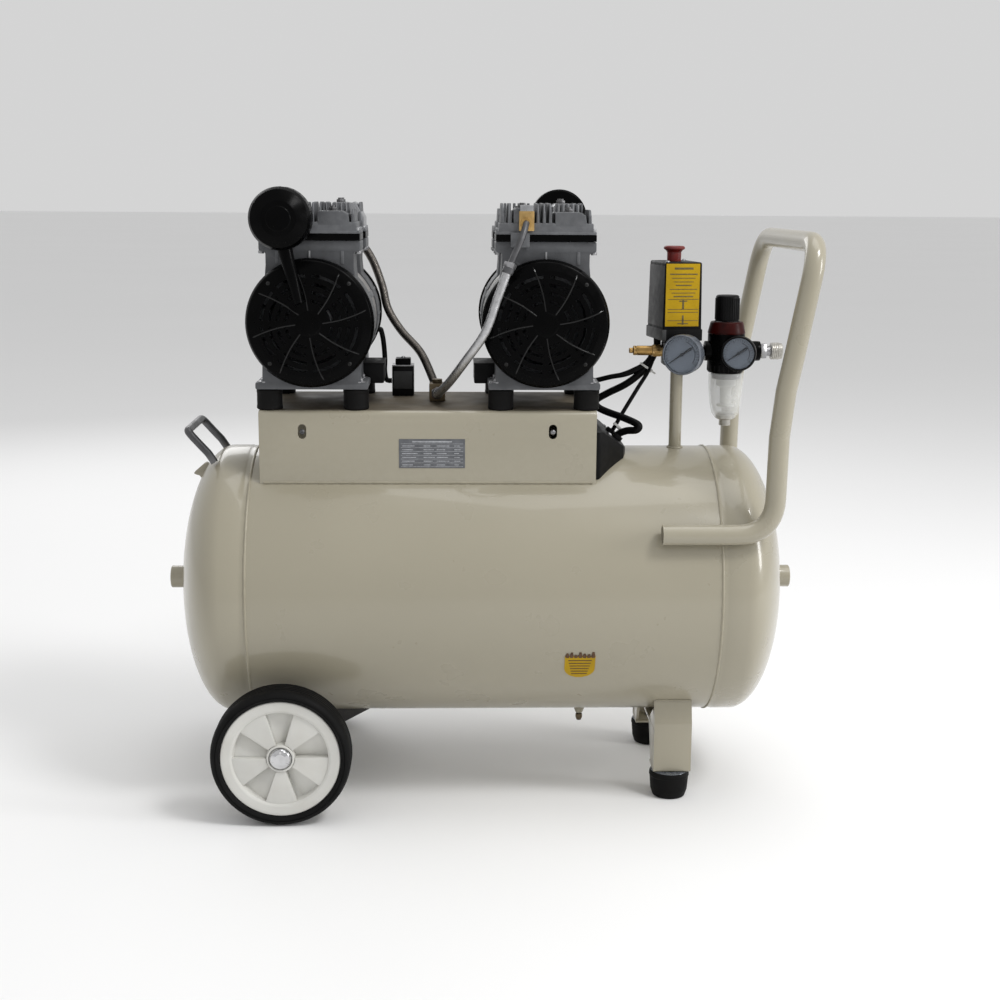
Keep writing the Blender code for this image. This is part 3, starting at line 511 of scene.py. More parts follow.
def piece(name, solids, body="frame"):
    """One visible piece of (solid, material) pairs; it stands for the node of its name."""
    mesh = bpy.data.meshes.new(name + "_visual")
    joined = bmesh.new()
    looks = []
    for solid, look in solids:
        if look not in looks:
            looks.append(look)
        part = bpy.data.meshes.new("part")
        for face in solid.faces:
            face.material_index = looks.index(look)
            face.smooth = True
        solid.to_mesh(part)
        solid.free()
        joined.from_mesh(part)
        bpy.data.meshes.remove(part)
    joined.to_mesh(mesh)
    joined.free()
    for look in looks:
        mesh.materials.append(look)
    mesh.set_sharp_from_angle(angle=radians(SHARP))
    obj = linked(name + "_visual", mesh)
    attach(obj, body)
    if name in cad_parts:
        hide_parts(name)


def screw(place, radius=0.0022, look=STEEL):
    """A pan-head screw with a cross recess; local +Z points out."""
    head = lathe(fillet([(0, radius * 0.75), (radius * 0.6, radius * 0.72),
        (radius, radius * 0.25), (radius, 0), (0, 0)], radius * 0.25, 2), 20)
    w, d = radius * 0.16, radius * 0.5
    head = cut(head, box((-w, -d, radius * 0.4), (w, d, radius), 0),
        box((-d, -w, radius * 0.4), (d, w, radius), 0))
    return (placed(head, place), look)


def bolt(place, across=0.008, height=0.0045, look=STEEL):
    """A hexagon head on a washer; local +Z points out."""
    washer = drum(across * 0.95, -0.0002, 0.0012, 0.0003, 28, place)
    stud = drum(across * 0.32, 0.001, height + 0.0018, 0.0004, 20, place)
    return [(washer, look), (hexagon(across, 0.0011, height, place), look), (stud, look)]


def weld(points, radius):
    """A weld bead with its ripples."""
    path = flowing(points, 10)
    radii = [radius * (1 + 0.16 * sin(i * 1.9)) for i in range(len(path))]
    return (sweep(path, radii, 10), WELD)


def arc(radius, start, end, steps, centre=(0, 0)):
    span = radians(end - start)
    return [(centre[0] + radius * cos(radians(start) + span * i / steps), centre[1] + radius
        * sin(radians(start) + span * i / steps)) for i in range(steps + 1)]


# ---- the tank and what is welded to it ----------------------------------------------------
def on_tank(x, angle, lift=0.0):
    """A point on the tank's surface, at an angle in degrees above its axis on the front."""
    a = radians(angle)
    return Vector((x, -(TANK_R + lift) * cos(a), TANK_Z + (TANK_R + lift) * sin(a)))


def closed_bead(path, bead, ripple):
    """A weld bead that closes on itself."""
    radii = [bead * (1 + ripple * sin(i * 2.2)) for i in range(len(path))]
    return (sweep(path, radii, 8, closed=True), WELD)


def ring_bead(x, radius, bead):
    """A bead round the tank's axis."""
    path = [(x, radius * cos(a), TANK_Z + radius * sin(a)) for a in angles(150)]
    return closed_bead(path, bead, 0.14)


def wrapped(rows, lift=0.0003):
    """A thin patch that hugs the tank, through rows of (angle, x from, x to)."""
    bm = bmesh.new()
    skins = [[[bm.verts.new(on_tank(x, angle, h)) for x in (x0, x1)] for angle, x0, x1 in rows]
        for h in (lift, -0.0004)]
    top, under = skins
    for i in range(len(rows) - 1):
        bm.faces.new((top[i][0], top[i][1], top[i + 1][1], top[i + 1][0]))
        bm.faces.new((under[i][0], under[i + 1][0], under[i + 1][1], under[i][1]))
        for side in (0, 1):
            bm.faces.new((top[i][side], top[i + 1][side], under[i + 1][side], under[i][side]))
    for i in (0, -1):
        bm.faces.new((top[i][0], top[i][1], under[i][1], under[i][0]))
    bmesh.ops.recalc_face_normals(bm, faces=bm.faces)
    return bm


def build_tank():
    top = acos(0.0126 / TANK_R)
    dish = [(TANK_R * cos(top * (1 - i / 22)), HEAD_X + DISH * sin(top * (1 - i / 22)))
        for i in range(23)]
    right = [(0, 0.339), (0.0072, 0.339)]
    for i in range(6):
        right += [(0.0072, 0.34 + 0.0018 * i), (0.008, 0.3409 + 0.0018 * i)]
    right += [(0.0084, 0.352), (0.0119, 0.352), (0.0125, 0.3513), (0.0125, 0.3352)] + dish
    right += [(TANK_R, 0.259), (0.1495, 0.2575), (0.1493, 0.253), (0.1496, 0.2495)]
    shell = lathe(mirrored(right), 144, place=at(0, 0, TANK_Z) @ TO_X)
    solids = [(shell, CREAM)]
    for side in (-1, 1):
        solids += [ring_bead(side * 0.2508, 0.1492, 0.0016), ring_bead(side * 0.3342, 0.0136,
            0.0015)]
    solids.append(weld([on_tank(x, 214) for x in (-0.248, -0.1, 0.1, 0.248)], 0.0016))
    boss = lathe(fillet([(0, 0.066), (0.003, 0.066), (0.0042, 0.0672), (0.0088, 0.079),
        (0.0092, 0.084), (0, 0.084)], 0.0015, 2), 32, place=at(DRAIN_X, 0, 0))
    solids.append((boss, CREAM))
    lug = [(-0.325, 0.349), (-0.317, 0.347), (-0.306, 0.33), (-0.299, 0.354),
        (-0.309, 0.363)]
    solids.append((prism(fillet(lug, 0.003, 3, True), 0.006, 0.0006, place=TO_FRONT), CREAM))
    for side in (-1, 1):
        solids.append(weld([(-0.3065, side * 0.0036, 0.3315), (-0.3035, side * 0.0036, 0.342),
            (-0.299, side * 0.0036, 0.354)], 0.0013))
    deck_seat = degrees(acos(DECK_HALF / TANK_R))
    for side in (1, -1):
        angle = deck_seat + 0.35 if side > 0 else 180 - deck_seat - 0.35
        solids.append(weld([on_tank(DECK_X0 + 0.004 + i * 0.0352, angle, 0.0008)
            for i in range(11)], 0.0014))
        for lean in (-2.3, 2.3):
            angle = (29.35 + lean) if side > 0 else 180 - (29.35 + lean)
            solids.append(weld([on_tank(0.193 + i * 0.015, angle, 0.001) for i in range(5)],
                0.0014))
    solids.append(foot_bead(RISER_X, 0.0078))
    piece("tank", solids)

    disc = []
    for i in range(15):
        down = -20.6 - 11.7 * i / 14
        low = max(0.0, (-27.0 - down) / 5.4)
        half = 0.0163 * sqrt(max(0.02, 1 - low * low))
        disc.append((down, 0.1016 - half, 0.1016 + half))
    sticker = [(wrapped(disc), YELLOW)]
    for i in range(7):
        a = 0.0857 + 0.0046 * i
        peak = -19.4 + 0.7 * sin(i * 2.4)
        sticker.append(
            (wrapped([(peak, a + 0.0012, a + 0.0034), (-20.7, a, a + 0.0043),
            (-21.4, a + 0.0005, a + 0.0037)], 0.0005), STICKER_DARK))
    for i in range(6):
        down = -22.6 - 1.45 * i
        sticker.append(
            (wrapped([(down, 0.089 + 0.0008 * i, 0.1142 - 0.0009 * i),
            (down - 0.4, 0.089 + 0.0008 * i, 0.1142 - 0.0009 * i)], 0.0005), STICKER_DARK))
    piece("tank_sticker", sticker)


def foot_bead(x, radius, bead=0.0013):
    """A bead where an upright pipe at x meets the top of the tank."""
    rim = [(radius * cos(a), radius * sin(a)) for a in angles(40)]
    path = [(x + u, v, TANK_Z + sqrt(TANK_R ** 2 - v ** 2)) for u, v in rim]
    return closed_bead(path, bead, 0.15)


def tank_cutter(radius=TANK_R - 0.0003):
    return lathe([(0, 0.45), (radius, 0.45), (radius, -0.45), (0, -0.45)], 160,
        place=at(0, 0, TANK_Z) @ TO_X)


def build_platform():
    bend, sheet, side = 0.0055, 0.003, TANK_Z + 0.1
    outer = [(DECK_HALF, side)] + arc(bend, 0, 90, 8, (DECK_HALF - bend, DECK_Z - bend))
    inner = [(DECK_HALF - sheet, side)]
    inner += arc(bend - sheet, 0, 90, 5, (DECK_HALF - bend, DECK_Z - bend))
    deck = prism(both_sides(outer) + both_sides(inner)[::-1], DECK_X1 - DECK_X0, 0.0005,
        place=at((DECK_X0 + DECK_X1) / 2, 0, 0) @ ALONG_X)
    tools = [tank_cutter(), drum(0.0085, 0.42, 0.44, 0, 32, at(CHECK_X, 0, 0))]
    for x in SLOT_XS:
        slot = arc(0.0044, 0, 180, 10, (x, 0.413)) + arc(0.0044, 180, 360, 10, (x, 0.406))
        tools.append(prism(slot, 0.3, place=TO_FRONT))
    deck = cut(deck, *tools)
    flat = DECK_HALF - bend
    # A thin skin over the deck's flat top carries the painted shade of the deck.
    solids = [(deck, CREAM),
        (box((DECK_X0 + 0.001, -flat, DECK_Z - 0.0004),
        (DECK_X1 - 0.001, flat, DECK_Z + 0.00015), 0.0001), DECK_PAINTED_SHADE)]
    for x, look in zip(SLOT_XS, (GUNMETAL, STEEL)):
        solids.append(screw(at(x, -DECK_HALF + 0.001, 0.409) @ TO_FRONT, 0.003, look))
    for x in PUMP_X.values():
        for u in (-MOUNT_X, MOUNT_X):
            for y in (-MOUNT_Y, MOUNT_Y):
                solids.append((drum(0.0098, DECK_Z - 0.0005, DECK_Z + 0.0009, 0.0003, 32,
                    at(x + u, y, 0)), STEEL))
    piece("pump_platform", solids)

    low, high = (-0.0912, 0.3703), (-0.0208, 0.4016)
    face = -DECK_HALF - 0.0005
    plate = [(box((low[0], face, low[1]), (high[0], -DECK_HALF + 0.0004, high[1]), 0.0002), PLATE)]

    def bar(x0, x1, z, thick=0.0009):
        plate.append((box((x0, face - 0.0002, z), (x1, face + 0.0002, z + thick), 0.00005),
            PLATE_INK))

    for i in range(7):
        bar(low[0] + 0.002, high[0] - 0.002, low[1] + 0.0014 + 0.0041 * i, 0.0004)
    for i in range(6):
        z = low[1] + 0.003 + 0.0041 * i
        bar(low[0] + 0.0032, low[0] + 0.015 + 0.0016 * (i * 5 % 4), z)
        bar(low[0] + 0.0262, low[0] + 0.0335 + 0.0012 * (i * 7 % 5), z)
        bar(low[0] + 0.0402, low[0] + 0.0492 + 0.0015 * (i * 3 % 4), z)
        bar(low[0] + 0.059, low[0] + 0.064 + 0.0008 * (i * 5 % 3), z)
    bar(low[0] + 0.014, high[0] - 0.014, high[1] - 0.0036, 0.0016)
    piece("nameplate", plate)


def build_handles():
    side = [(0.1855, HANDLE_Z), (0.303, HANDLE_Z), (0.3045, 0.412), (0.3095, 0.46),
        (0.3175, 0.501), (0.3375, 0.6115)]
    front = [(x, -HANDLE_Y, z) for x, z in side]
    route = front + [(x, HANDLE_Y, z) for x, z in reversed(side)]
    tube = sweep(fillet(route, 0.04, 10), TUBE_R, 28)
    for y in (-HANDLE_Y, HANDLE_Y):
        tube = cut(tube, drum(TUBE_R - 0.0018, 0.18, 0.21, 0, 28, at(0, y, HANDLE_Z) @ TO_X))
    piece("push_handle", [(tube, CREAM)])

    rod = [(-0.2925, 0.37), (-0.299, 0.38), (-0.3095, 0.3915), (-0.321, 0.4045)]
    leg = [(x, -0.05, z) for x, z in rod]
    route = leg + [(x, -y, z) for x, y, z in reversed(leg)]
    piece("lift_handle", [(sweep(fillet(route, 0.01, 6), 0.0043, 20), GUNMETAL)])


def build_feet():
    front, sheet, web = 0.0985, 0.003, 0.074
    under = [(front - sheet, web), (front - sheet, 0.033), (0.064, 0.0332), (0.064, 0.0302),
        (front, 0.03), (front, 0.086), (0.087, 0.125), (0.0837, 0.125),
        (front - sheet, 0.085), (front - sheet, web + sheet)]
    strap = prism(both_sides(fillet(under, 0.003, 3)), 2 * FOOT_HALF, 0.0006,
        place=at(FOOT_X, 0, 0) @ ALONG_X)
    solids = [(cut(strap, tank_cutter()), CREAM)]
    for side in (-1, 1):
        flange = [(0.097, 0.0317), (0.097, 0.084), (0.08, 0.098), (0.045, 0.0755),
            (0.068, 0.0317)]
        plate = prism([(side * y, z) for y, z in flange], sheet, 0.0005,
            place=at(FOOT_X - FOOT_HALF + 0.002, 0, 0) @ ALONG_X)
        solids.append((cut(plate, tank_cutter()), CREAM))
        solids.append(weld([(FOOT_X + x, side * 0.0925, 0.1116) for x in (-0.019, -0.006, 0.006,
            0.019)], 0.0013))
    piece("foot_bracket", solids)
    for name, side in (("front", -1), ("rear", 1)):
        place = at(0.208, side * FOOT_Y, 0)
        foot = lathe(fillet([(0, 0.0297), (0.021, 0.0297), (0.022, 0.027), (0.0222, 0.024),
            (0.0216, 0.0232), (0.0204, 0.008), (0.018, 0.0006), (0.015, 0), (0.014, 0.0012),
            (0, 0.0012)], 0.0008, 3), 56, place=place)
        rings = [
            (lathe(fillet([(r - 0.0012, 0.0013), (r - 0.0006, 0.0002), (r + 0.0006, 0.0002),
            (r + 0.0012, 0.0013)], 0.0003, 1, True), 40, True, place), RUBBER)
            for r in (0.004, 0.008)]
        nut = hexagon(0.01, 0.0331, 0.0385, place)
        plate = lathe([(0.012, 0.029), (0.02, 0.029), (0.0209, 0.0294), (0.0206, 0.0299),
            (0.012, 0.0299)], 48, True, place)
        piece(f"rubber_foot_{name}", [(foot, RUBBER), *rings, (nut, STEEL), (plate, DIAL_CASE)])


# ---- the wheels ---------------------------------------------------------------------------
def build_axle():
    half, sheet = 0.045, 0.003
    plate = [(-0.248, 0.125), (-0.233, 0.063), (-0.223, 0.056), (-0.195, 0.056),
        (-0.18, 0.0585), (-0.125, 0.0883), (-0.123, 0.125)]
    solid = prism(fillet(plate, 0.004, 3, True), 2 * half, 0.0006, place=TO_FRONT)
    solid = cut(solid, box((-0.26, sheet - half, 0.059), (-0.1, half - sheet, 0.13), 0),
        tank_cutter(), drum(0.0053, -0.2, 0.2, 0, 32, at(WHEEL_X, 0, WHEEL_R) @ TO_Y))
    piece("axle_bracket", [(solid, BLACK_STEEL)])
    end = WHEEL_FACE - 0.0012
    cap = fillet([(0, end), (0.006, end), (0.01, end - 0.0012), (0.0118, end - 0.0036),
        (0.0118, end - 0.005), (0.0104, end - 0.005), (0.0098, end - 0.0052),
        (0.005, end - 0.0052)], 0.0012, 3)
    place = at(WHEEL_X, 0, WHEEL_R) @ TO_Y
    solids = [(lathe(mirrored(cap), 48, place=place), CHROME)]
    for side in (-1, 1):
        lug = box((0.0062, -0.0011, end - 0.002), (0.0094, 0.0011, end - 0.0002), 0.0003)
        solids += around(lug, 3, place @ Matrix.Scale(side, 4, (0, 0, 1)), CHROME, 0.6)
    piece("axle", solids)


def vane(inner, outer, start, end, top_start, top_end, low, steps=7):
    """A sector of a wheel's face whose top slopes from one edge to the other."""
    bm = bmesh.new()
    ribs = []
    for i in range(steps + 1):
        t = i / steps
        a = radians(start + (end - start) * t)
        top = top_start + (top_end - top_start) * t
        ribs.append([bm.verts.new((r * cos(a), r * sin(a), h))
            for r, h in ((inner, low), (outer, low), (outer, top), (inner, top))])
    for a, b in zip(ribs, ribs[1:]):
        for k in range(4):
            bm.faces.new((a[k], a[(k + 1) % 4], b[(k + 1) % 4], b[k]))
    bm.faces.new(reversed(ribs[0]))
    bm.faces.new(ribs[-1])
    bmesh.ops.recalc_face_normals(bm, faces=bm.faces)
    return bevelled(bm, 0.0007, 2)


def build_wheel(name, side):
    turn = TO_FRONT if side < 0 else TO_Y
    place = at(WHEEL_X, side * (WHEEL_FACE - TYRE_W / 2), WHEEL_R) @ turn
    rim, bore = RIM_R - 0.0002, 0.0051
    profile = [(bore, 0.012), (0.012, 0.012), (0.0122, 0.0128), (0.0125, 0.015),
        (0.0145, 0.015), (0.015, 0.012), (0.0158, 0.003), (0.049, 0.0045), (0.0505, 0.014),
        (0.053, 0.0156), (0.06, 0.0162), (0.0622, 0.0162), (rim, 0.015), (rim, -0.015),
        (0.056, -0.015), (0.053, 0.002), (0.018, 0.0005), (0.014, -0.015), (bore, -0.015)]
    hub = lathe(fillet(profile, 0.0008, 3, True), 72, True, place)
    solids = [(hub, OFF_WHITE)]
    for i in range(VANES):
        a = 360 / VANES * i + 90
        ramp = vane(0.0152, 0.0503, a - 17, a + 17, 0.0034, 0.0088, 0.002)
        panel = vane(0.0152, 0.0505, a + 17, a + 55, 0.0142, 0.0128, 0.002)
        solids += [(placed(ramp, place), OFF_WHITE), (placed(panel, place), OFF_WHITE)]
        rib = box((0.017, -0.0012, -0.013), (0.054, 0.0012, 0.001), 0.0005)
        solids.append((placed(rib, place @ spin(radians(a))), OFF_WHITE))
    piece(f"wheel_{name}", solids, f"{name}_wheel")

    side_line = [(RIM_R, 0.0163), (0.065, 0.018), (0.0672, 0.0192), (0.068, 0.0186),
        (0.0684, 0.0192), (0.07, 0.0188), (0.0722, 0.0168), (0.0736, 0.0135), (0.0742, 0.01)]
    tread = []
    for h in (0.0085, 0.0035, -0.0015, -0.0065):
        tread += [(0.0742, h), (0.0728, h - 0.0006), (0.0728, h - 0.0014), (0.0742, h - 0.002)]
    tyre = side_line + tread + mirrored(side_line)[len(side_line):]
    piece(f"tyre_{name}", [(lathe(tyre, 96, True, place), TYRE)], f"{name}_wheel")


# ---- the pumps ----------------------------------------------------------------------------
def in_end(pump, end):
    """The frame of one end of a pump: X across, -Y outwards, Z up from the shaft."""
    return at(PUMP_X[pump], 0, PUMP_Z, 0 if end == "front" else pi)


def build_crankcase(pump, end):
    place = in_end(pump, end)
    floor, bell = -0.0706, 0.0655
    right = [(0.0595, floor), (0.0595, floor + 0.0072), (0.052, floor + 0.008)]
    right += arc(bell, -38.2, 44.0, 12)
    right += [(0.0458, 0.06), (0.0458, 0.0725), (0.0528, 0.0744), (0.0528, 0.085)]
    shape = both_sides(right)
    case = prism(fillet(shape, 0.0016, 2, True), 0.053, 0.0009, place=at(0, -0.0565, 0)
        @ TO_FRONT)
    chamber = lathe([(0, 0.09), (0.044, 0.09), (0.044, 0.04), (0.008, 0.038),
        (0.008, 0.02), (0, 0.02)], 48, place=TO_FRONT)
    case = cut(case, chamber, drum(0.022, 0.03, 0.09, 0, 40, at(0, -0.0565, 0)))
    solids = [(placed(case, place), CAST)]

    def extra(bm, look=CAST):
        solids.append((placed(bm, place), look))

    extra(box((-0.0009, -0.0842, 0.0665), (0.0009, -0.082, 0.0745), 0.0004), BRIGHT)
    for u in (-0.034, 0.034):
        extra(box((u - 0.0016, -0.0838, 0.061), (u + 0.0016, -0.0815, 0.0745), 0.0006))
    extra(box((-0.05, -0.0836, 0.0852), (-0.018, -0.03, 0.0872), 0.0005))
    for u in (-0.0505, 0.0505):
        for v in (-0.036, -0.077):
            solids += bolt(place @ at(u, v, floor + 0.0072), 0.0065, 0.004)
        for v in (-0.035, -0.078):
            solids += [(placed(drum(0.0032, 0.0712, 0.0745, 0.0004, 20, at(u, v, 0)), place),
                STEEL)]
    for a in (-25, 0, 25):
        fin = box((bell - 0.0012, -0.08, -0.0012), (bell + 0.0006, -0.033, 0.0012), 0.0004)
        for turn in (radians(a), radians(180 - a)):
            extra(placed(fin.copy(), spin(-turn, 'Y')))
        fin.free()
    piece(f"crankcase_{pump}_{end}", solids)
    for u in (-MOUNT_X, MOUNT_X):
        shape = fillet([(0, -0.0003), (0.0128, -0.0003), (0.0138, -0.0014), (0.0138, -0.0042),
            (0.0135, -0.0048), (0.0135, -0.018), (0.0138, -0.0186), (0.0138, -0.0212),
            (0.0128, -0.0222), (0, -0.0222)], 0.0006, 2)
        rubber = lathe(shape, 40, place=place @ at(u, -MOUNT_Y, floor))
        node = mount_at(place @ Vector((u, -MOUNT_Y, floor)))
        piece(node, [(rubber, RUBBER)])


def mount_at(point):
    """The name of the mount whose solid stands at the point."""
    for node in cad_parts:
        if node.startswith("mount_"):
            low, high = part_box(node)
            if ((low + high) / 2 - point).xy.length < 0.005:
                return node
    raise ValueError("no mount there")


def build_head(pump, end):
    place = in_end(pump, end)
    solids = []

    def add(bm, look=CAST):
        solids.append((placed(bm, place), look))

    add(box((-0.0526, -0.086, 0.0853), (0.0526, -0.027, 0.0922), 0.0006), GLOSS_BLACK)
    add(box((-0.0525, -0.0858, 0.0922), (0.0525, -0.0272, 0.0952), 0.0009))
    add(box((-0.0492, -0.0855, 0.094), (0.0492, -0.0275, 0.104), 0.0014))
    for left, right, top in ((-0.0475, -0.0445, 0.1243), (-0.0405, -0.0375, 0.1243),
            (-0.0105, -0.0075, 0.1243), (-0.004, -0.001, 0.1243), (0.0025, 0.0055, 0.1243),
            (0.044, 0.047, 0.118)):
        side = [(-0.085, 0.101), (-0.0835, 0.112), (-0.079, top - 0.0012), (-0.076, top),
            (-0.038, top), (-0.0345, top - 0.0012), (-0.0285, 0.112), (-0.0278, 0.101)]
        mid = (left + right) / 2
        fin = prism(side, right - left, 0.001, place=at(mid, 0, 0) @ ALONG_X)
        for v in fin.verts:
            v.co.x = mid + (v.co.x - mid) * (1.25 - 0.6 * max(0, v.co.z - 0.101) / 0.0235)
        add(fin)
    if end == "front":
        shoulder = [(-0.0345, 0.1), (-0.0345, 0.1165), (-0.0318, 0.1195), (-0.0162, 0.1195),
            (-0.0135, 0.1165), (-0.0135, 0.1)]
        add(prism(shoulder, 0.056, 0.001, place=at(0, -0.0565, 0) @ TO_FRONT))
    else:
        shoulder = [(-0.0508, 0.096), (-0.0508, 0.1075), (-0.042, 0.1236), (-0.017, 0.1236),
            (-0.0135, 0.12), (-0.0135, 0.1)]
        add(prism(shoulder, 0.054, 0.0012, place=at(0, -0.0565, 0) @ TO_FRONT), BRIGHT)
    chest = [(0.009, 0.1), (0.009, 0.114), (0.0105, 0.1155), (0.0345, 0.1155),
        (0.041, 0.112), (0.0425, 0.1)]
    add(prism(chest, 0.0575, 0.0012, place=at(0, -0.0568, 0) @ TO_FRONT))
    for i in range(6):
        u = 0.012 + 0.0052 * i
        add(box((u, -0.054, 0.108), (u + 0.0022, -0.029, 0.124), 0.0008))
    for u, top in ((-0.024, 0.1193 if end == "front" else 0.1234), (0.024, 0.1153)):
        for v in (-0.04, -0.072) if u < 0 else (-0.07,):
            for bm, look in bolt(at(u, v, top - 0.0005), 0.0075, 0.0042, GUNMETAL):
                add(bm, look)
    for u in (-0.049, 0.049):
        for v in (-0.033, -0.0565, -0.08):
            add(drum(0.0034, 0.0938, 0.0985, 0.0005, 20, at(u, v, 0)), BRIGHT)
    piece(f"head_{pump}_{end}", solids)


def cover_shell():
    """A fan cover, open at the back, with rows of curved slots between radial ribs."""
    back, front, r = 0.0834, 0.1046, 0.0673
    dome = [(0.056, front - 0.003), (0.0648, front - 0.0066), (r, front - 0.012), (r, back)]
    outer = fillet([(0, front), *dome], 0.004, 4)
    inner = fillet([(0, front - 0.0022), (0.055, front - 0.0052), (0.0632, front - 0.0086),
        (r - 0.002, front - 0.0125), (r - 0.002, back)], 0.003, 3)
    shell = lathe(outer + inner[::-1], 96)
    slots = bmesh.new()
    for i in range(SECTORS):
        mid = 360 * (i + 0.5) / SECTORS
        for radius, spread in ((0.024, 15), (0.0325, 17), (0.041, 18), (0.0495, 18.5)):
            loop = arc(radius - 0.0016, mid - spread, mid + spread, 8)
            loop += arc(radius + 0.0016, mid + spread, mid - spread, 8)
            tool = prism(loop, 0.03, place=at(0, 0, front))
            part = bpy.data.meshes.new("slot")
            tool.to_mesh(part)
            slots.from_mesh(part)
            tool.free()
            bpy.data.meshes.remove(part)
    shell = cut(shell, slots)
    solids = [(shell, GLOSS_BLACK)]
    for a in angles(SECTORS):
        path = [(q * cos(a + 4 * q), q * sin(a + 4 * q), h) for q, h in ((0.014, front - 0.0011),
            (0.03, front - 0.0018), (0.045, front - 0.0026), (0.055, front - 0.0033),
            (0.0605, front - 0.0058))]
        solids.append((sweep(flowing(path, 3), 0.0009, 8), RIB_BLACK))
    hub = lathe(fillet([(0, front + 0.0002), (0.0115, front - 0.0002), (0.0135, front - 0.0009),
        (0.0135, front - 0.003), (0, front - 0.003)], 0.0006, 2), 48)
    solids.append((hub, GLOSS_BLACK))
    for i in range(4):
        a = pi / 4 + HALF * i
        solids.append(screw(at(0.0585 * cos(a), 0.0585 * sin(a), front - 0.0048), 0.0024,
            BLACK_STEEL))
    return solids


def build_cover(pump, end, solids):
    place = in_end(pump, end) @ TO_FRONT
    own = [(placed(bm.copy(), place), look) for bm, look in solids]
    piece(f"fan_cover_{pump}_{end}", own)


def build_motor(pump):
    """The stator between the crankcases, and the rotor with its eccentrics and fans."""
    place = at(PUMP_X[pump], 0, PUMP_Z) @ TO_Y
    ring = fillet([(0.0636, 0.0293), (0.064, 0.028), (0.064, -0.028), (0.0636, -0.0293),
        (0.0284, -0.0293), (0.0284, 0.0293)], 0.0003, 1, True)
    solids = [(lathe(ring, 96, True, place), LAMINATION)]
    key = box((0.063, -0.0035, -0.029), (0.0648, 0.0035, 0.029), 0.0006)
    solids += around(key, 8, place, CAST, pi / 8)
    low = at(PUMP_X[pump], 0, PUMP_Z, 0 if pump == "left" else pi)
    solids += [(box((0.044, -0.0278, -0.0704), (0.074, 0.0278, -0.0482), 0.0018, low), BLACK),
        (box((0.05, -0.0282, -0.05), (0.0744, 0.0282, -0.0478), 0.0006, low), BLACK)]
    piece(f"stator_{pump}", solids)

    shaft = [(0, 0.0983), (0.006, 0.0983), (0.0073, 0.097), (0.0073, 0.0265), (0.0272, 0.0262),
        (0.0275, 0.0255)]
    solids = [(lathe(mirrored(shaft), 56, place=place), STEEL)]
    for side in (-1, 1):
        solids.append((drum(0.016, -0.0058, 0.0058, 0.0006, 40, place
            @ at(0.005, 0, side * 0.058)), STEEL))
        hub = lathe(fillet([(0.0074, 0.0985), (0.012, 0.0985), (0.0135, 0.096), (0.0135, 0.0862),
            (0.0074, 0.0862)], 0.0008, 2, True), 40, True)
        flip = place @ spin(pi if side < 0 else 0, 'X')
        solids.append((placed(hub, flip), BLACK))
        blade = box((0.0125, -0.0007, 0.0868), (0.053, 0.0007, 0.0968), 0.0004)
        for v in blade.verts:
            v.co.y += 0.18 * (v.co.z - 0.0918) * v.co.x / 0.053
        solids += around(blade, 9, flip, BLACK)
    piece(f"rotor_{pump}", solids, f"{pump}_rotor")


def build_filter(pump):
    """An intake silencer: a pleated-looking canister on a stem into the cylinder head."""
    end = "front" if pump == "left" else "rear"
    place = in_end(pump, end) @ at(-0.026, 0, 0.1078) @ TO_FRONT
    can = fillet([(0, 0.1384), (0.012, 0.1382), (0.0128, 0.1374), (0.018, 0.1366),
        (0.0292, 0.1292), (0.0318, 0.1225), (0.0318, 0.116), (0.0312, 0.1155), (0.0312, 0.114),
        (0.0318, 0.1135), (0.032, 0.1012), (0.03, 0.0992), (0.0125, 0.099), (0.0105, 0.097),
        (0.0105, 0.0864), (0, 0.0864)], 0.001, 3)
    solids = [(lathe(can, 80, place=place), GLOSS_BLACK)]
    rib = box((0.0306, -0.0009, 0.102), (0.032, 0.0009, 0.113), 0.0003)
    solids += around(rib, 28, place, BLACK)
    lip = box((-0.011, -0.0318, 0.101), (0.011, -0.0268, 0.109), 0.0012)
    solids.append((placed(lip, place), BLACK))
    duct = sweep(flowing([(0.001, -0.02, 0.106), (0.005, -0.04, 0.1062),
        (0.011, -0.062, 0.1092), (0.0165, -0.086, 0.111)], 8),
        [0.0085 - 0.00014 * i for i in range(25)], 24)
    solids.append((placed(duct, place), GLOSS_BLACK))
    piece(f"intake_filter_{pump}", solids)


# ---- switch, gauges, regulator and outlet -------------------------------------------------
def build_manifold():
    pipe = lathe(fillet([(0, 0.5015), (0.007, 0.5015), (0.007, PIPE_TOP), (0, PIPE_TOP)], 0.0006,
        2), 40, place=at(RISER_X, 0, 0))
    block = box((0.2001, -0.0139, 0.4731), (0.2334, 0.0139, 0.4984), 0.0016)
    boss = box((0.2215, -0.024, 0.4805), (0.239, -0.0125, 0.4975), 0.0012)
    solids = [(pipe, CREAM), (block, CAST), (boss, CAST),
        (hexagon(0.0172, 0.466, 0.4735, at(RISER_X, 0, 0)), STEEL),
        (hexagon(0.0172, 0.498, 0.5014, at(RISER_X, 0, 0)), STEEL)]
    piece("manifold", solids)

    place = at(0.2, 0, 0.4885) @ spin(-HALF, 'Y')
    profile = [(0, 0.018), (0.0022, 0.018), (0.0022, 0.033), (0.0046, 0.033), (0.0053, 0.0324),
        (0.0054, 0.0305), (0.0051, 0.03), (0.0051, 0.0292), (0.0054, 0.0287), (0.0054, 0.0122),
        (0.0064, 0.0118), (0.0066, 0.0003), (0, 0.0003)]
    solids = [(lathe(profile, 40, place=place), BRASS), (hexagon(0.0128, 0.003, 0.01, place),
        BRASS)]
    piece("safety_valve", solids)
    pin = fillet([(0, 0.0375), (0.0024, 0.0375), (0.003, 0.0367), (0.003, 0.0334),
        (0.0017, 0.0332), (0.0017, 0.019), (0, 0.019)], 0.0004, 2)
    piece("safety_valve_pin", [(lathe(pin, 28, place=place), BRASS)], "safety_pin")


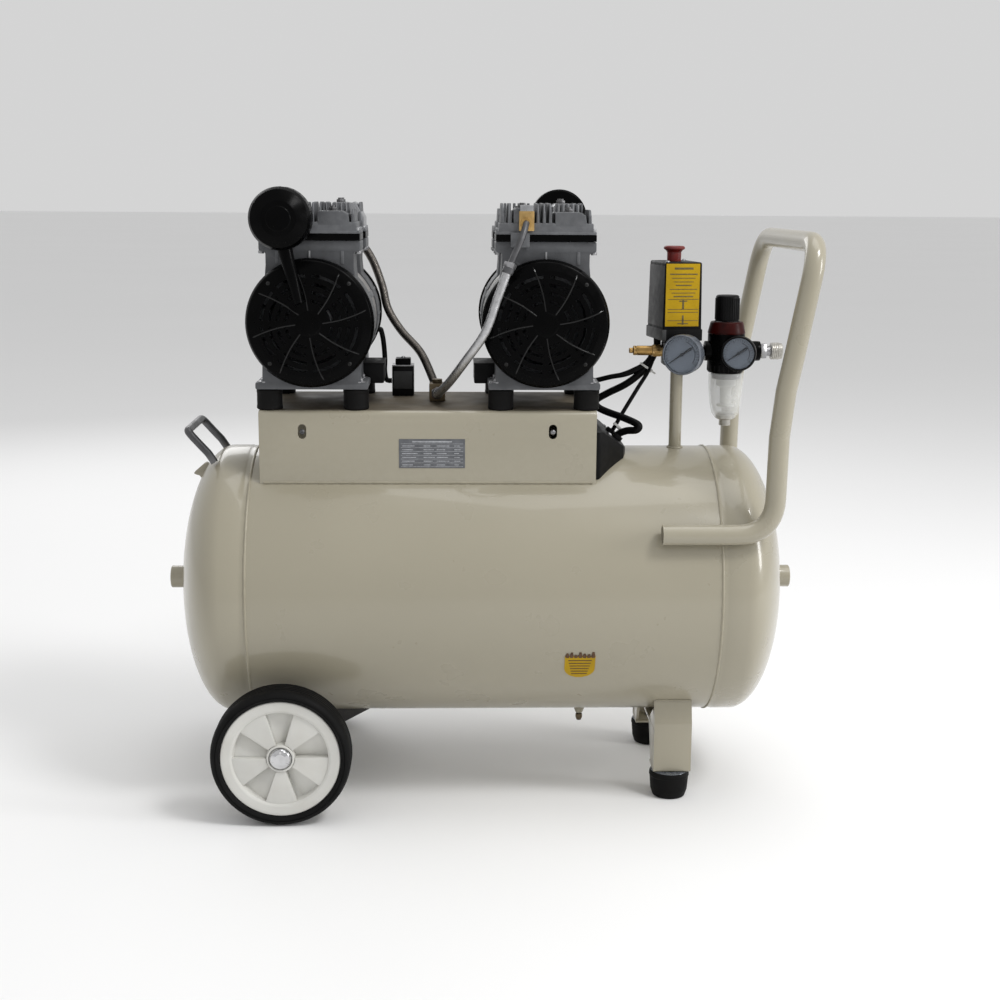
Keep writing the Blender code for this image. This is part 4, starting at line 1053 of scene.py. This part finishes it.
def build_switch():
    place = at(SWITCH_X, 0, 0, SWITCH_TURN)
    body = box((-0.0219, -0.032, 0.513), (0.0219, 0.032, 0.5872), 0.0026, segments=3)
    for v in body.verts:
        v.co.x *= 1 - 0.06 * (v.co.z - 0.513) / 0.0742
    body = cut(placed(body, place), drum(0.0084, 0.576, 0.6, 0, 40, at(KNOB_X, 0, 0)))
    # The base is black as painted shade on its front; the grey tab at the left keeps the base's
    # own grey.
    base_painted_shade = placed(box((-0.0228, -0.033, 0.502), (0.0228, 0.033, 0.515), 0.0015), place)
    tab = placed(box((-0.023, -0.0332, 0.5024), (-0.018, 0.0332, 0.5146), 0.001), place)
    solids = [(body, BLACK), (base_painted_shade, BLACK), (tab, GREY_ABS)]
    cheek = box((-0.0224, -0.03, 0.517), (-0.0208, 0.03, 0.583), 0.0006)
    for v in cheek.verts:
        v.co.x *= 1 - 0.06 * (v.co.z - 0.513) / 0.0742
    solids.append((placed(cheek, place), GREY_ABS))
    for x, y in ((-0.016, -0.024), (0.016, 0.024)):
        solids.append(screw(place @ at(x, y, 0.5868), 0.0026))
    piece("pressure_switch", solids)

    face, low, high = -0.0324, 0.518, 0.5856
    label = [(box((-0.0198, face, low), (0.018, -0.0316, high), 0.0002), YELLOW)]

    def bar(x0, x1, z, thick=0.0008):
        label.append((box((x0, face - 0.0002, z), (x1, face + 0.0002, z + thick), 0.00005), INK))

    bar(-0.0105, 0.0105, high - 0.0062, 0.0022)
    for i in range(7):
        half = 0.0155 - 0.0022 * (i * 5 % 4)
        bar(-half, half, high - 0.0118 - 0.004 * i, 0.0007 if i % 3 else 0.0012)
    for z in (0.547, 0.5362, 0.533, 0.524):
        bar(-0.0172, 0.0172, z, 0.0006)
    bar(-0.001, 0.001, 0.5366, 0.01)
    bar(-0.0045, 0.0045, 0.5448, 0.0012)
    bar(-0.001, 0.001, 0.52, 0.01)
    bar(-0.006, 0.006, 0.5205, 0.001)
    piece("switch_label", [(placed(bm, place), look) for bm, look in label])

    knob = fillet([(0, 0.6026), (0.007, 0.6026), (0.0085, 0.6037), (0.01, 0.6037),
        (0.0116, 0.6026), (0.0116, 0.6004), (0.0092, 0.599), (0.0078, 0.597), (0.0076, 0.583),
        (0, 0.583)], 0.0006, 3)
    piece("switch_knob", [(lathe(knob, 48, place=at(KNOB_X, 0, 0)), RED)],
        "switch_knob")


def build_gauge(name, body, centre, turn, radius, depth, stem, shell):
    """A dial gauge with a recessed face, a graduated scale, a needle and a glass."""
    place = Matrix.Translation(centre) @ Euler((HALF, 0, turn)).to_matrix().to_4x4()
    rim = radius - 0.0022
    case = [(0, -0.0042), (rim, -0.0042), (rim + 0.0002, -0.0004), (rim + 0.0009, 0),
        (radius - 0.0004, -0.0006), (radius, -0.0018), (radius, -0.0044),
        (radius - 0.0007, -0.005), (radius - 0.0007, -depth + 0.0024), (radius - 0.003, -depth),
        (0.006, -depth), (0.006, -stem), (0, -stem)]
    solids = [(lathe(case, 72, place=place), shell),
        (hexagon(0.013, -depth - 0.005, -depth + 0.0005, place), BRASS),
        (lathe([(0, -0.0034), (rim - 0.0002, -0.0034), (rim - 0.0002, -0.0044), (0, -0.0044)], 72,
        place=place), DIAL)]
    for i in range(DIAL_TICKS):
        a = radians(DIAL_REST - TICK_STEP * i)
        long = i % 5 == 0
        tick = box((rim - (0.0046 if long else 0.0032), -0.00022, -0.0036),
            (rim - 0.0014, 0.00022, -0.0031), 0.00004)
        solids.append((placed(tick, place @ spin(a)), DIAL_INK))
    scale = arc(rim - 0.0052, DIAL_REST - 140, DIAL_REST - 250, 16)
    solids.append((sweep([(x, y, -0.0033) for x, y in scale], 0.00035, 6, place), DIAL_INK))
    piece(name, solids)

    length = rim - 0.0032
    shape = [(-length * 0.88, -0.0004), (-length * 0.7, -0.0016), (-0.002, -0.0011),
        (length, -0.0004), (length, 0.0004), (-0.002, 0.0011), (-length * 0.7, 0.0016),
        (-length * 0.88, 0.0004)]
    hand = prism(shape, 0.0005, 0.0001, place=place @ at(0, 0, -0.0022, radians(DIAL_REST)))
    hub = drum(0.0019, -0.0033, -0.0016, 0.0002, 24, place)
    piece(f"{name}_needle", [(hand, DIAL_INK), (hub, DIAL_INK)], body)
    lens = lathe(fillet([(0, -0.0006), (rim - 0.001, -0.0009), (rim, -0.0012), (rim, -0.0015),
        (0, -0.0011)], 0.0002, 1), 64, place=place)
    piece(f"{name}_glass", [(lens, GLASS)])


def build_regulator():
    place = at(REG_X, 0, 0)
    body = fillet([(0, 0.5205), (0.015, 0.5205), (0.017, 0.5198), (0.0203, 0.5085),
        (0.0205, 0.506), (0.0205, 0.472), (0.0195, 0.465), (0, 0.465)], 0.0008, 3)
    line = at(REG_X, 0, REG_Z) @ TO_X
    ports = fillet([(0, 0.038), (0.0108, 0.0378), (0.011, 0.0345), (0.011, -0.024),
        (0.0062, -0.0243), (0.0062, -0.0372), (0, -0.0372)], 0.0007, 2)
    plug = [(0, 0.0632), (0.0046, 0.0632), (0.0054, 0.0622), (0.0057, 0.06), (0.0057, 0.045),
        (0.0072, 0.0448), (0.0072, 0.0372), (0, 0.0372)]
    solids = [(lathe(body, 64, place=place), GLOSS_BLACK),
        (lathe(ports, 48, place=line), GLOSS_BLACK), (lathe(plug, 40, place=line), STEEL),
        (hexagon(0.0158, 0.0382, 0.0448, line), STEEL), (hexagon(0.0138, -0.033, -0.0262, line),
        STEEL)]
    rib = box((0.02, -0.0008, 0.4665), (0.0206, 0.0008, 0.4735), 0.0002)
    solids += around(rib, 24, place, BLACK)
    ring = fillet([(0.014, 0.5212), (0.0174, 0.5212), (0.0182, 0.52), (0.0208, 0.5092),
        (0.0206, 0.5078), (0.018, 0.5078)], 0.0006, 2, True)
    solids.append((lathe(ring, 64, True, place), DARK_RED))
    piece("regulator_body", solids)

    knob = [
        (lathe(fillet([(0, 0.55), (0.0112, 0.5503), (0.0128, 0.549), (0.0131, 0.54),
        (0.0131, 0.5216), (0, 0.5216)], 0.0008, 3), 56, place=place), BLACK)]
    rib = box((0.0126, -0.0007, 0.5235), (0.0136, 0.0007, 0.547), 0.0003)
    knob += around(rib, 30, place, BLACK)
    piece("regulator_knob", knob, "regulator_knob")

    sleeve = [(0.0061, 0.063), (0.0078, 0.063), (0.009, 0.0618), (0.009, 0.059)]
    for i in range(4):
        h = 0.0588 - 0.002 * i
        sleeve += [(0.0095, h - 0.0002), (0.0095, h - 0.0012), (0.0091, h - 0.0016)]
    sleeve += [(0.0094, 0.0504), (0.0086, 0.05), (0.0061, 0.05)]
    piece("coupler_sleeve", [(lathe(sleeve, 48, True, line), SATIN)], "coupler_sleeve")

    cup = fillet([(0, 0.4155), (0.0095, 0.416), (0.0134, 0.421), (0.0156, 0.43),
        (0.0172, 0.445), (0.0174, 0.4643), (0.0194, 0.4643), (0.0197, 0.46), (0.0191, 0.445),
        (0.0175, 0.429), (0.0155, 0.4192), (0.011, 0.4132), (0, 0.4125)], 0.0015, 3)
    piece("filter_bowl", [(lathe(cup, 64, place=at(BOWL_X, 0, 0)), BOWL)])
    inside = at(BOWL_X, 0, 0)
    element = [(0, 0.464), (0.011, 0.464), (0.011, 0.45), (0.0065, 0.448), (0.006, 0.43),
        (0.01, 0.4285), (0.01, 0.4262), (0, 0.4262)]
    drain = [(0, 0.4195), (0.0088, 0.419), (0.0104, 0.4172), (0.0102, 0.4128), (0.0064, 0.4112),
        (0.0064, 0.405), (0.004, 0.4045), (0, 0.4045)]
    inner = [(lathe(fillet(element, 0.0008, 2), 40, place=inside), OFF_WHITE),
        (lathe(fillet([(0.01, 0.4642), (0.0165, 0.4642), (0.016, 0.4575), (0.01, 0.4575)],
        0.0006, 2, True), 40, True, inside), GREY_ABS),
        (lathe(fillet(drain, 0.0005, 2), 36, place=inside), SATIN)]
    piece("filter_element", inner)


# ---- hoses, boxes and cables --------------------------------------------------------------
RIGHT_HOSE = [(0.042, -0.0864, 0.6286), (0.0415, -0.096, 0.627), (0.0363, -0.106, 0.6117),
    (0.0257, -0.114, 0.5888), (0.0125, -0.1165, 0.554), (-0.0002, -0.114, 0.5181),
    (-0.02, -0.096, 0.487), (-0.0379, -0.06, 0.459), (-0.0495, -0.032, 0.444),
    (-0.051, -0.022, 0.442), (-0.051, -0.016, 0.442), (-0.051, -0.0106, 0.442)]
LEFT_HOSE = [(-0.161, 0.0864, 0.6286), (-0.16, 0.098, 0.627), (-0.148, 0.108, 0.613),
    (-0.1284, 0.108, 0.5848), (-0.116, 0.1, 0.5541), (-0.1087, 0.09, 0.5269),
    (-0.093, 0.076, 0.503), (-0.07, 0.056, 0.479), (-0.0545, 0.034, 0.448),
    (-0.051, 0.022, 0.442), (-0.051, 0.016, 0.442), (-0.051, 0.0106, 0.442)]
PUMP_CABLE = [(-0.1186, 0.056, 0.506), (-0.1172, 0.056, 0.506), (-0.1154, 0.0558, 0.505),
    (-0.1128, 0.054, 0.493), (-0.1112, 0.052, 0.474), (-0.1115, 0.052, 0.46),
    (-0.11, 0.052, 0.45), (-0.107, 0.052, 0.448), (-0.1034, 0.052, 0.448)]
LEAD_TOP = [(0.195, 0.016, 0.489), (0.196, 0.0165, 0.5015)]
LEADS = ((0.003, [(0.1156, 0.03, 0.45), (0.1246, 0.029, 0.4505), (0.1451, 0.022, 0.4564),
    (0.1643, 0.017, 0.461), (0.184, 0.0155, 0.472), *LEAD_TOP]),
    (0.0042, [(0.1486, -0.015, 0.3928), (0.1504, -0.015, 0.3952), (0.1523, -0.015, 0.3975),
    (0.16, -0.019, 0.401), (0.17, -0.026, 0.403), (0.1715, -0.025, 0.4085),
    (0.1575, -0.01, 0.414), (0.14, 0.008, 0.4185), (0.13, 0.018, 0.423),
    (0.13, 0.029, 0.429), (0.142, 0.027, 0.437), (0.164, 0.018, 0.45),
    (0.184, 0.0155, 0.468), *LEAD_TOP]),
    (0.0024, [(0.1436, -0.001, 0.3966), (0.1454, -0.001, 0.399), (0.1473, -0.001, 0.4013),
    (0.156, -0.003, 0.4179), (0.1728, 0.002, 0.445), (0.186, 0.01, 0.465), *LEAD_TOP]))


def aim(start, end):
    """The frame at start whose +Z looks at end."""
    start, end = Vector(start), Vector(end)
    turn = Vector((0, 0, 1)).rotation_difference((end - start).normalized())
    return Matrix.Translation(start) @ turn.to_matrix().to_4x4()


def build_hose(name, route, look, start=0):
    path = flowing(route, 8)
    solids = [(sweep(path[start:], HOSE_R, 20), look)]
    if start:
        solids.append((sweep(path[:start + 2], 0.0034, 20), GUNMETAL))
    crimp = fillet([(0.004, -0.0004), (0.0058, 0.0004), (0.006, 0.01), (0.0054, 0.0116),
        (0.004, 0.0118)], 0.0006, 2, True)
    for start, after in ((path[start], path[start + 5]), (path[-1], path[-9])):
        place = aim(start, after)
        solids.append((lathe(crimp, 28, True, place), GUNMETAL))
        solids.append((hexagon(0.0118, 0.0002, 0.0052, place), STEEL))
    piece(name, solids)


def build_air_lines():
    build_hose("discharge_hose_right", RIGHT_HOSE, BRAID, 24)
    build_hose("discharge_hose_left", LEFT_HOSE, BRAID_PAINTED_SHADE)
    place = at(CHECK_X, 0, 0)
    solids = [(drum(0.0076, PIPE_TOP, 0.434, 0.0006, 40, place), AGED_BRASS),
        (hexagon(0.015, 0.386, 0.396, place), AGED_BRASS),
        (box((-0.0599, -0.01, 0.432), (-0.0421, 0.01, 0.4519), 0.0018), AGED_BRASS),
        (hexagon(0.011, 0.4515, 0.456, place), AGED_BRASS)]
    piece("check_valve", solids)
    elbow = in_end("right", "front")
    parts = [(box((-0.029, -0.0905, 0.096), (-0.013, -0.0862, 0.1165), 0.0012), BRASS),
        # The bright cap on the brass elbow's top is a painted highlight.
        (box((-0.028, -0.09, 0.116), (-0.014, -0.0862, 0.1225), 0.0012), BRIGHT),
        (box((-0.0375, -0.0885, 0.079), (-0.0175, -0.085, 0.0945), 0.0014), CAST),
        (drum(0.006, 0.0862, 0.0935, 0.0008, 32, at(-0.0216, 0, 0.104) @ TO_FRONT), BRASS)]
    piece("outlet_elbow_right", [(placed(bm, elbow), look) for bm, look in parts])


def build_electrics():
    plan = [(0.095, -0.08), (0.124, -0.08), (0.154, -0.042), (0.157, -0.03),
        (0.157, 0.03), (0.154, 0.042), (0.124, 0.08), (0.095, 0.08)]
    case = prism(fillet(plan, 0.005, 3, True), 0.1, place=at(0, 0, 0.358))
    slope = at(0.13, 0, 0.406) @ spin(radians(38), 'Y')
    case = cut(case, tank_cutter(), box((-0.06, -0.2, 0), (0.08, 0.2, 0.05), 0, slope))
    solids = [(bevelled(case, 0.0014, 2), BLACK)]
    for x, y in ((-0.02, -0.05), (-0.02, 0.05), (0.012, -0.032), (0.012, 0.032)):
        solids.append(screw(slope @ at(x, y, -0.0002), 0.0028))
    for _, route in LEADS[1:]:
        gland = aim(route[0], route[1])
        solids.append((drum(0.0066, -0.002, 0.0036, 0.0006, 28, gland), BLACK))
    piece("junction_box", solids)

    low = DECK_Z + 0.0002
    solids = [(box((-0.1027, 0.04, low), (-0.078, 0.064, 0.4658), 0.0014), BLACK),
        (box((-0.099, 0.043, 0.46), (-0.0815, 0.061, 0.4744), 0.0016), GLOSS_BLACK),
        (box((-0.101, 0.0392, 0.44), (-0.0797, 0.0402, 0.46), 0.0004), GREY_ABS),
        (box((-0.1028, 0.0396, 0.4655), (-0.0779, 0.0644, 0.467), 0.0005), STEEL),
        screw(at(-0.0903, 0.052, 0.4742), 0.0026)]
    piece("solenoid_valve", solids)
    piece("pump_cable_left", [(sweep(flowing(PUMP_CABLE, 8), 0.0029, 16), CABLE)])

    solids = [(sweep(flowing(route, 8), radius - 0.0001, 16), CABLE) for radius, route in LEADS]
    solids.append(
        (
        sweep(flowing([(x, y, z) for x, y, z in ((0.1158, 0.0308, 0.4492),
        (0.13, 0.0284, 0.4522), (0.15, 0.0196, 0.458), (0.168, 0.0158, 0.465),
        (0.185, 0.015, 0.476), (0.1955, 0.016, 0.498))], 8), 0.0018, 12), CABLE))
    piece("wiring_harness", solids)
    ties = []
    for point, toward, radius in (((0.1506, -0.0075, 0.404), (0.1575, -0.006, 0.411), 0.0052),
            ((0.183, 0.0155, 0.469), (0.188, 0.0158, 0.476), 0.0064)):
        place = aim(point, toward)
        ring = [(radius, -0.0012), (radius + 0.0008, -0.0012), (radius + 0.0008, 0.0012),
            (radius, 0.0012)]
        ties.append((lathe(ring, 28, True, place), TIE))
        ties.append((box((radius - 0.0002, -0.0018, -0.002), (radius + 0.003, 0.0018, 0.002),
            0.0004, place), TIE))
        ties.append((box((radius + 0.001, -0.0004, -0.001), (radius + 0.008, 0.0004, 0.001),
            0.0002, place), TIE))
    piece("cable_ties", ties)


def build_drain():
    place = at(DRAIN_X, 0, 0)
    knob = fillet([(0, 0.0657), (0.0034, 0.0655), (0.0038, 0.0645), (0.0038, 0.0606),
        (0.0026, 0.0576), (0, 0.0572)], 0.0004, 3)
    solids = [(lathe(knob, 32, place=place), AGED_BRASS)]
    rib = box((0.0034, -0.0004, 0.061), (0.0039, 0.0004, 0.0642), 0.0001)
    solids += around(rib, 12, place, AGED_BRASS)
    piece("drain_valve", solids, "drain_valve")


build_tank()
build_platform()
build_handles()
build_feet()
build_axle()
for wheel, wheel_side in (("front", -1), ("rear", 1)):
    build_wheel(wheel, wheel_side)
cover = cover_shell()
for pump in PUMP_X:
    build_motor(pump)
    build_filter(pump)
    for end in ("front", "rear"):
        build_crankcase(pump, end)
        build_head(pump, end)
        build_cover(pump, end, cover)
for bm, _ in cover:
    bm.free()
build_manifold()
build_switch()
build_gauge("tank_gauge", "tank_needle", (0.2118, -0.06, 0.4895), radians(-28), 0.022, 0.0175,
    0.0365, DIAL_CASE)
build_gauge("outlet_gauge", "outlet_needle", (0.2775, -0.04, 0.489), radians(-18), 0.0192,
    0.015, 0.019, BLACK)
build_regulator()
build_air_lines()
build_electrics()
build_drain()


# ---- floor, light and camera --------------------------------------------------------------
def build_stage():
    floor = bpy.data.meshes.new("floor")
    bm = bmesh.new()
    bmesh.ops.create_grid(bm, x_segments=2, y_segments=2, size=FLOOR_HALF)
    bm.to_mesh(floor)
    bm.free()
    look = Look("pale_floor", (0.86, 0.86, 0.86), 0.9)
    look.vary(0.6, 0.006).gloss(4, 0.85, 0.95)
    floor.materials.append(look.done())
    linked("floor", floor)

    world = bpy.data.worlds.new("studio")
    world.use_nodes = True
    world.node_tree.nodes["Background"].inputs["Color"].default_value = (1, 1, 1, 1)
    world.node_tree.nodes["Background"].inputs["Strength"].default_value = WORLD_LIGHT
    bpy.context.scene.world = world
    bpy.context.scene.view_settings.view_transform = 'Standard'
    for name, spot, aim_at, size, power in (("key", (1.4, -1.1, 2.5), (0.05, 0, 0.3), (0.7, 0.7),
            32), ("side", (2.4, -0.7, 1.0), (0.1, 0, 0.35), (0.5, 0.9), 16),
            ("top", (0.3, 0.2, 2.8), (0, 0, 0.3), (1.8, 1.4), 14),
            ("rim", (-0.9, 2.2, 1.5), (0, 0, 0.35), (1.2, 1.0), 9)):
        data = bpy.data.lights.new(name, 'AREA')
        data.shape = 'RECTANGLE'
        data.size, data.size_y, data.energy = *size, power
        lamp = linked(name, data)
        lamp.location = spot
        lamp.rotation_euler = (Vector(aim_at) - Vector(spot)).to_track_quat('-Z', 'Y').to_euler()


def build_camera():
    yaw, pitch, roll = radians(1.9148), radians(11.1793), radians(0.3899)
    forward = Vector((sin(yaw) * cos(pitch), cos(yaw) * cos(pitch), -sin(pitch)))
    right = Vector((cos(yaw), -sin(yaw), 0))
    up = right.cross(forward)
    x_axis = right * cos(roll) + up * sin(roll)
    y_axis = up * cos(roll) - right * sin(roll)
    data = bpy.data.cameras.new("camera")
    data.lens, data.sensor_width = LENS_MM, SENSOR_MM
    data.clip_start, data.clip_end = 0.05, 200
    camera = linked("camera", data)
    camera.matrix_world = (Matrix.Translation(CAMERA_AT) @ Matrix((x_axis, y_axis, -forward))
        .transposed().to_4x4())
    bpy.context.scene.camera = camera


build_stage()
build_camera()
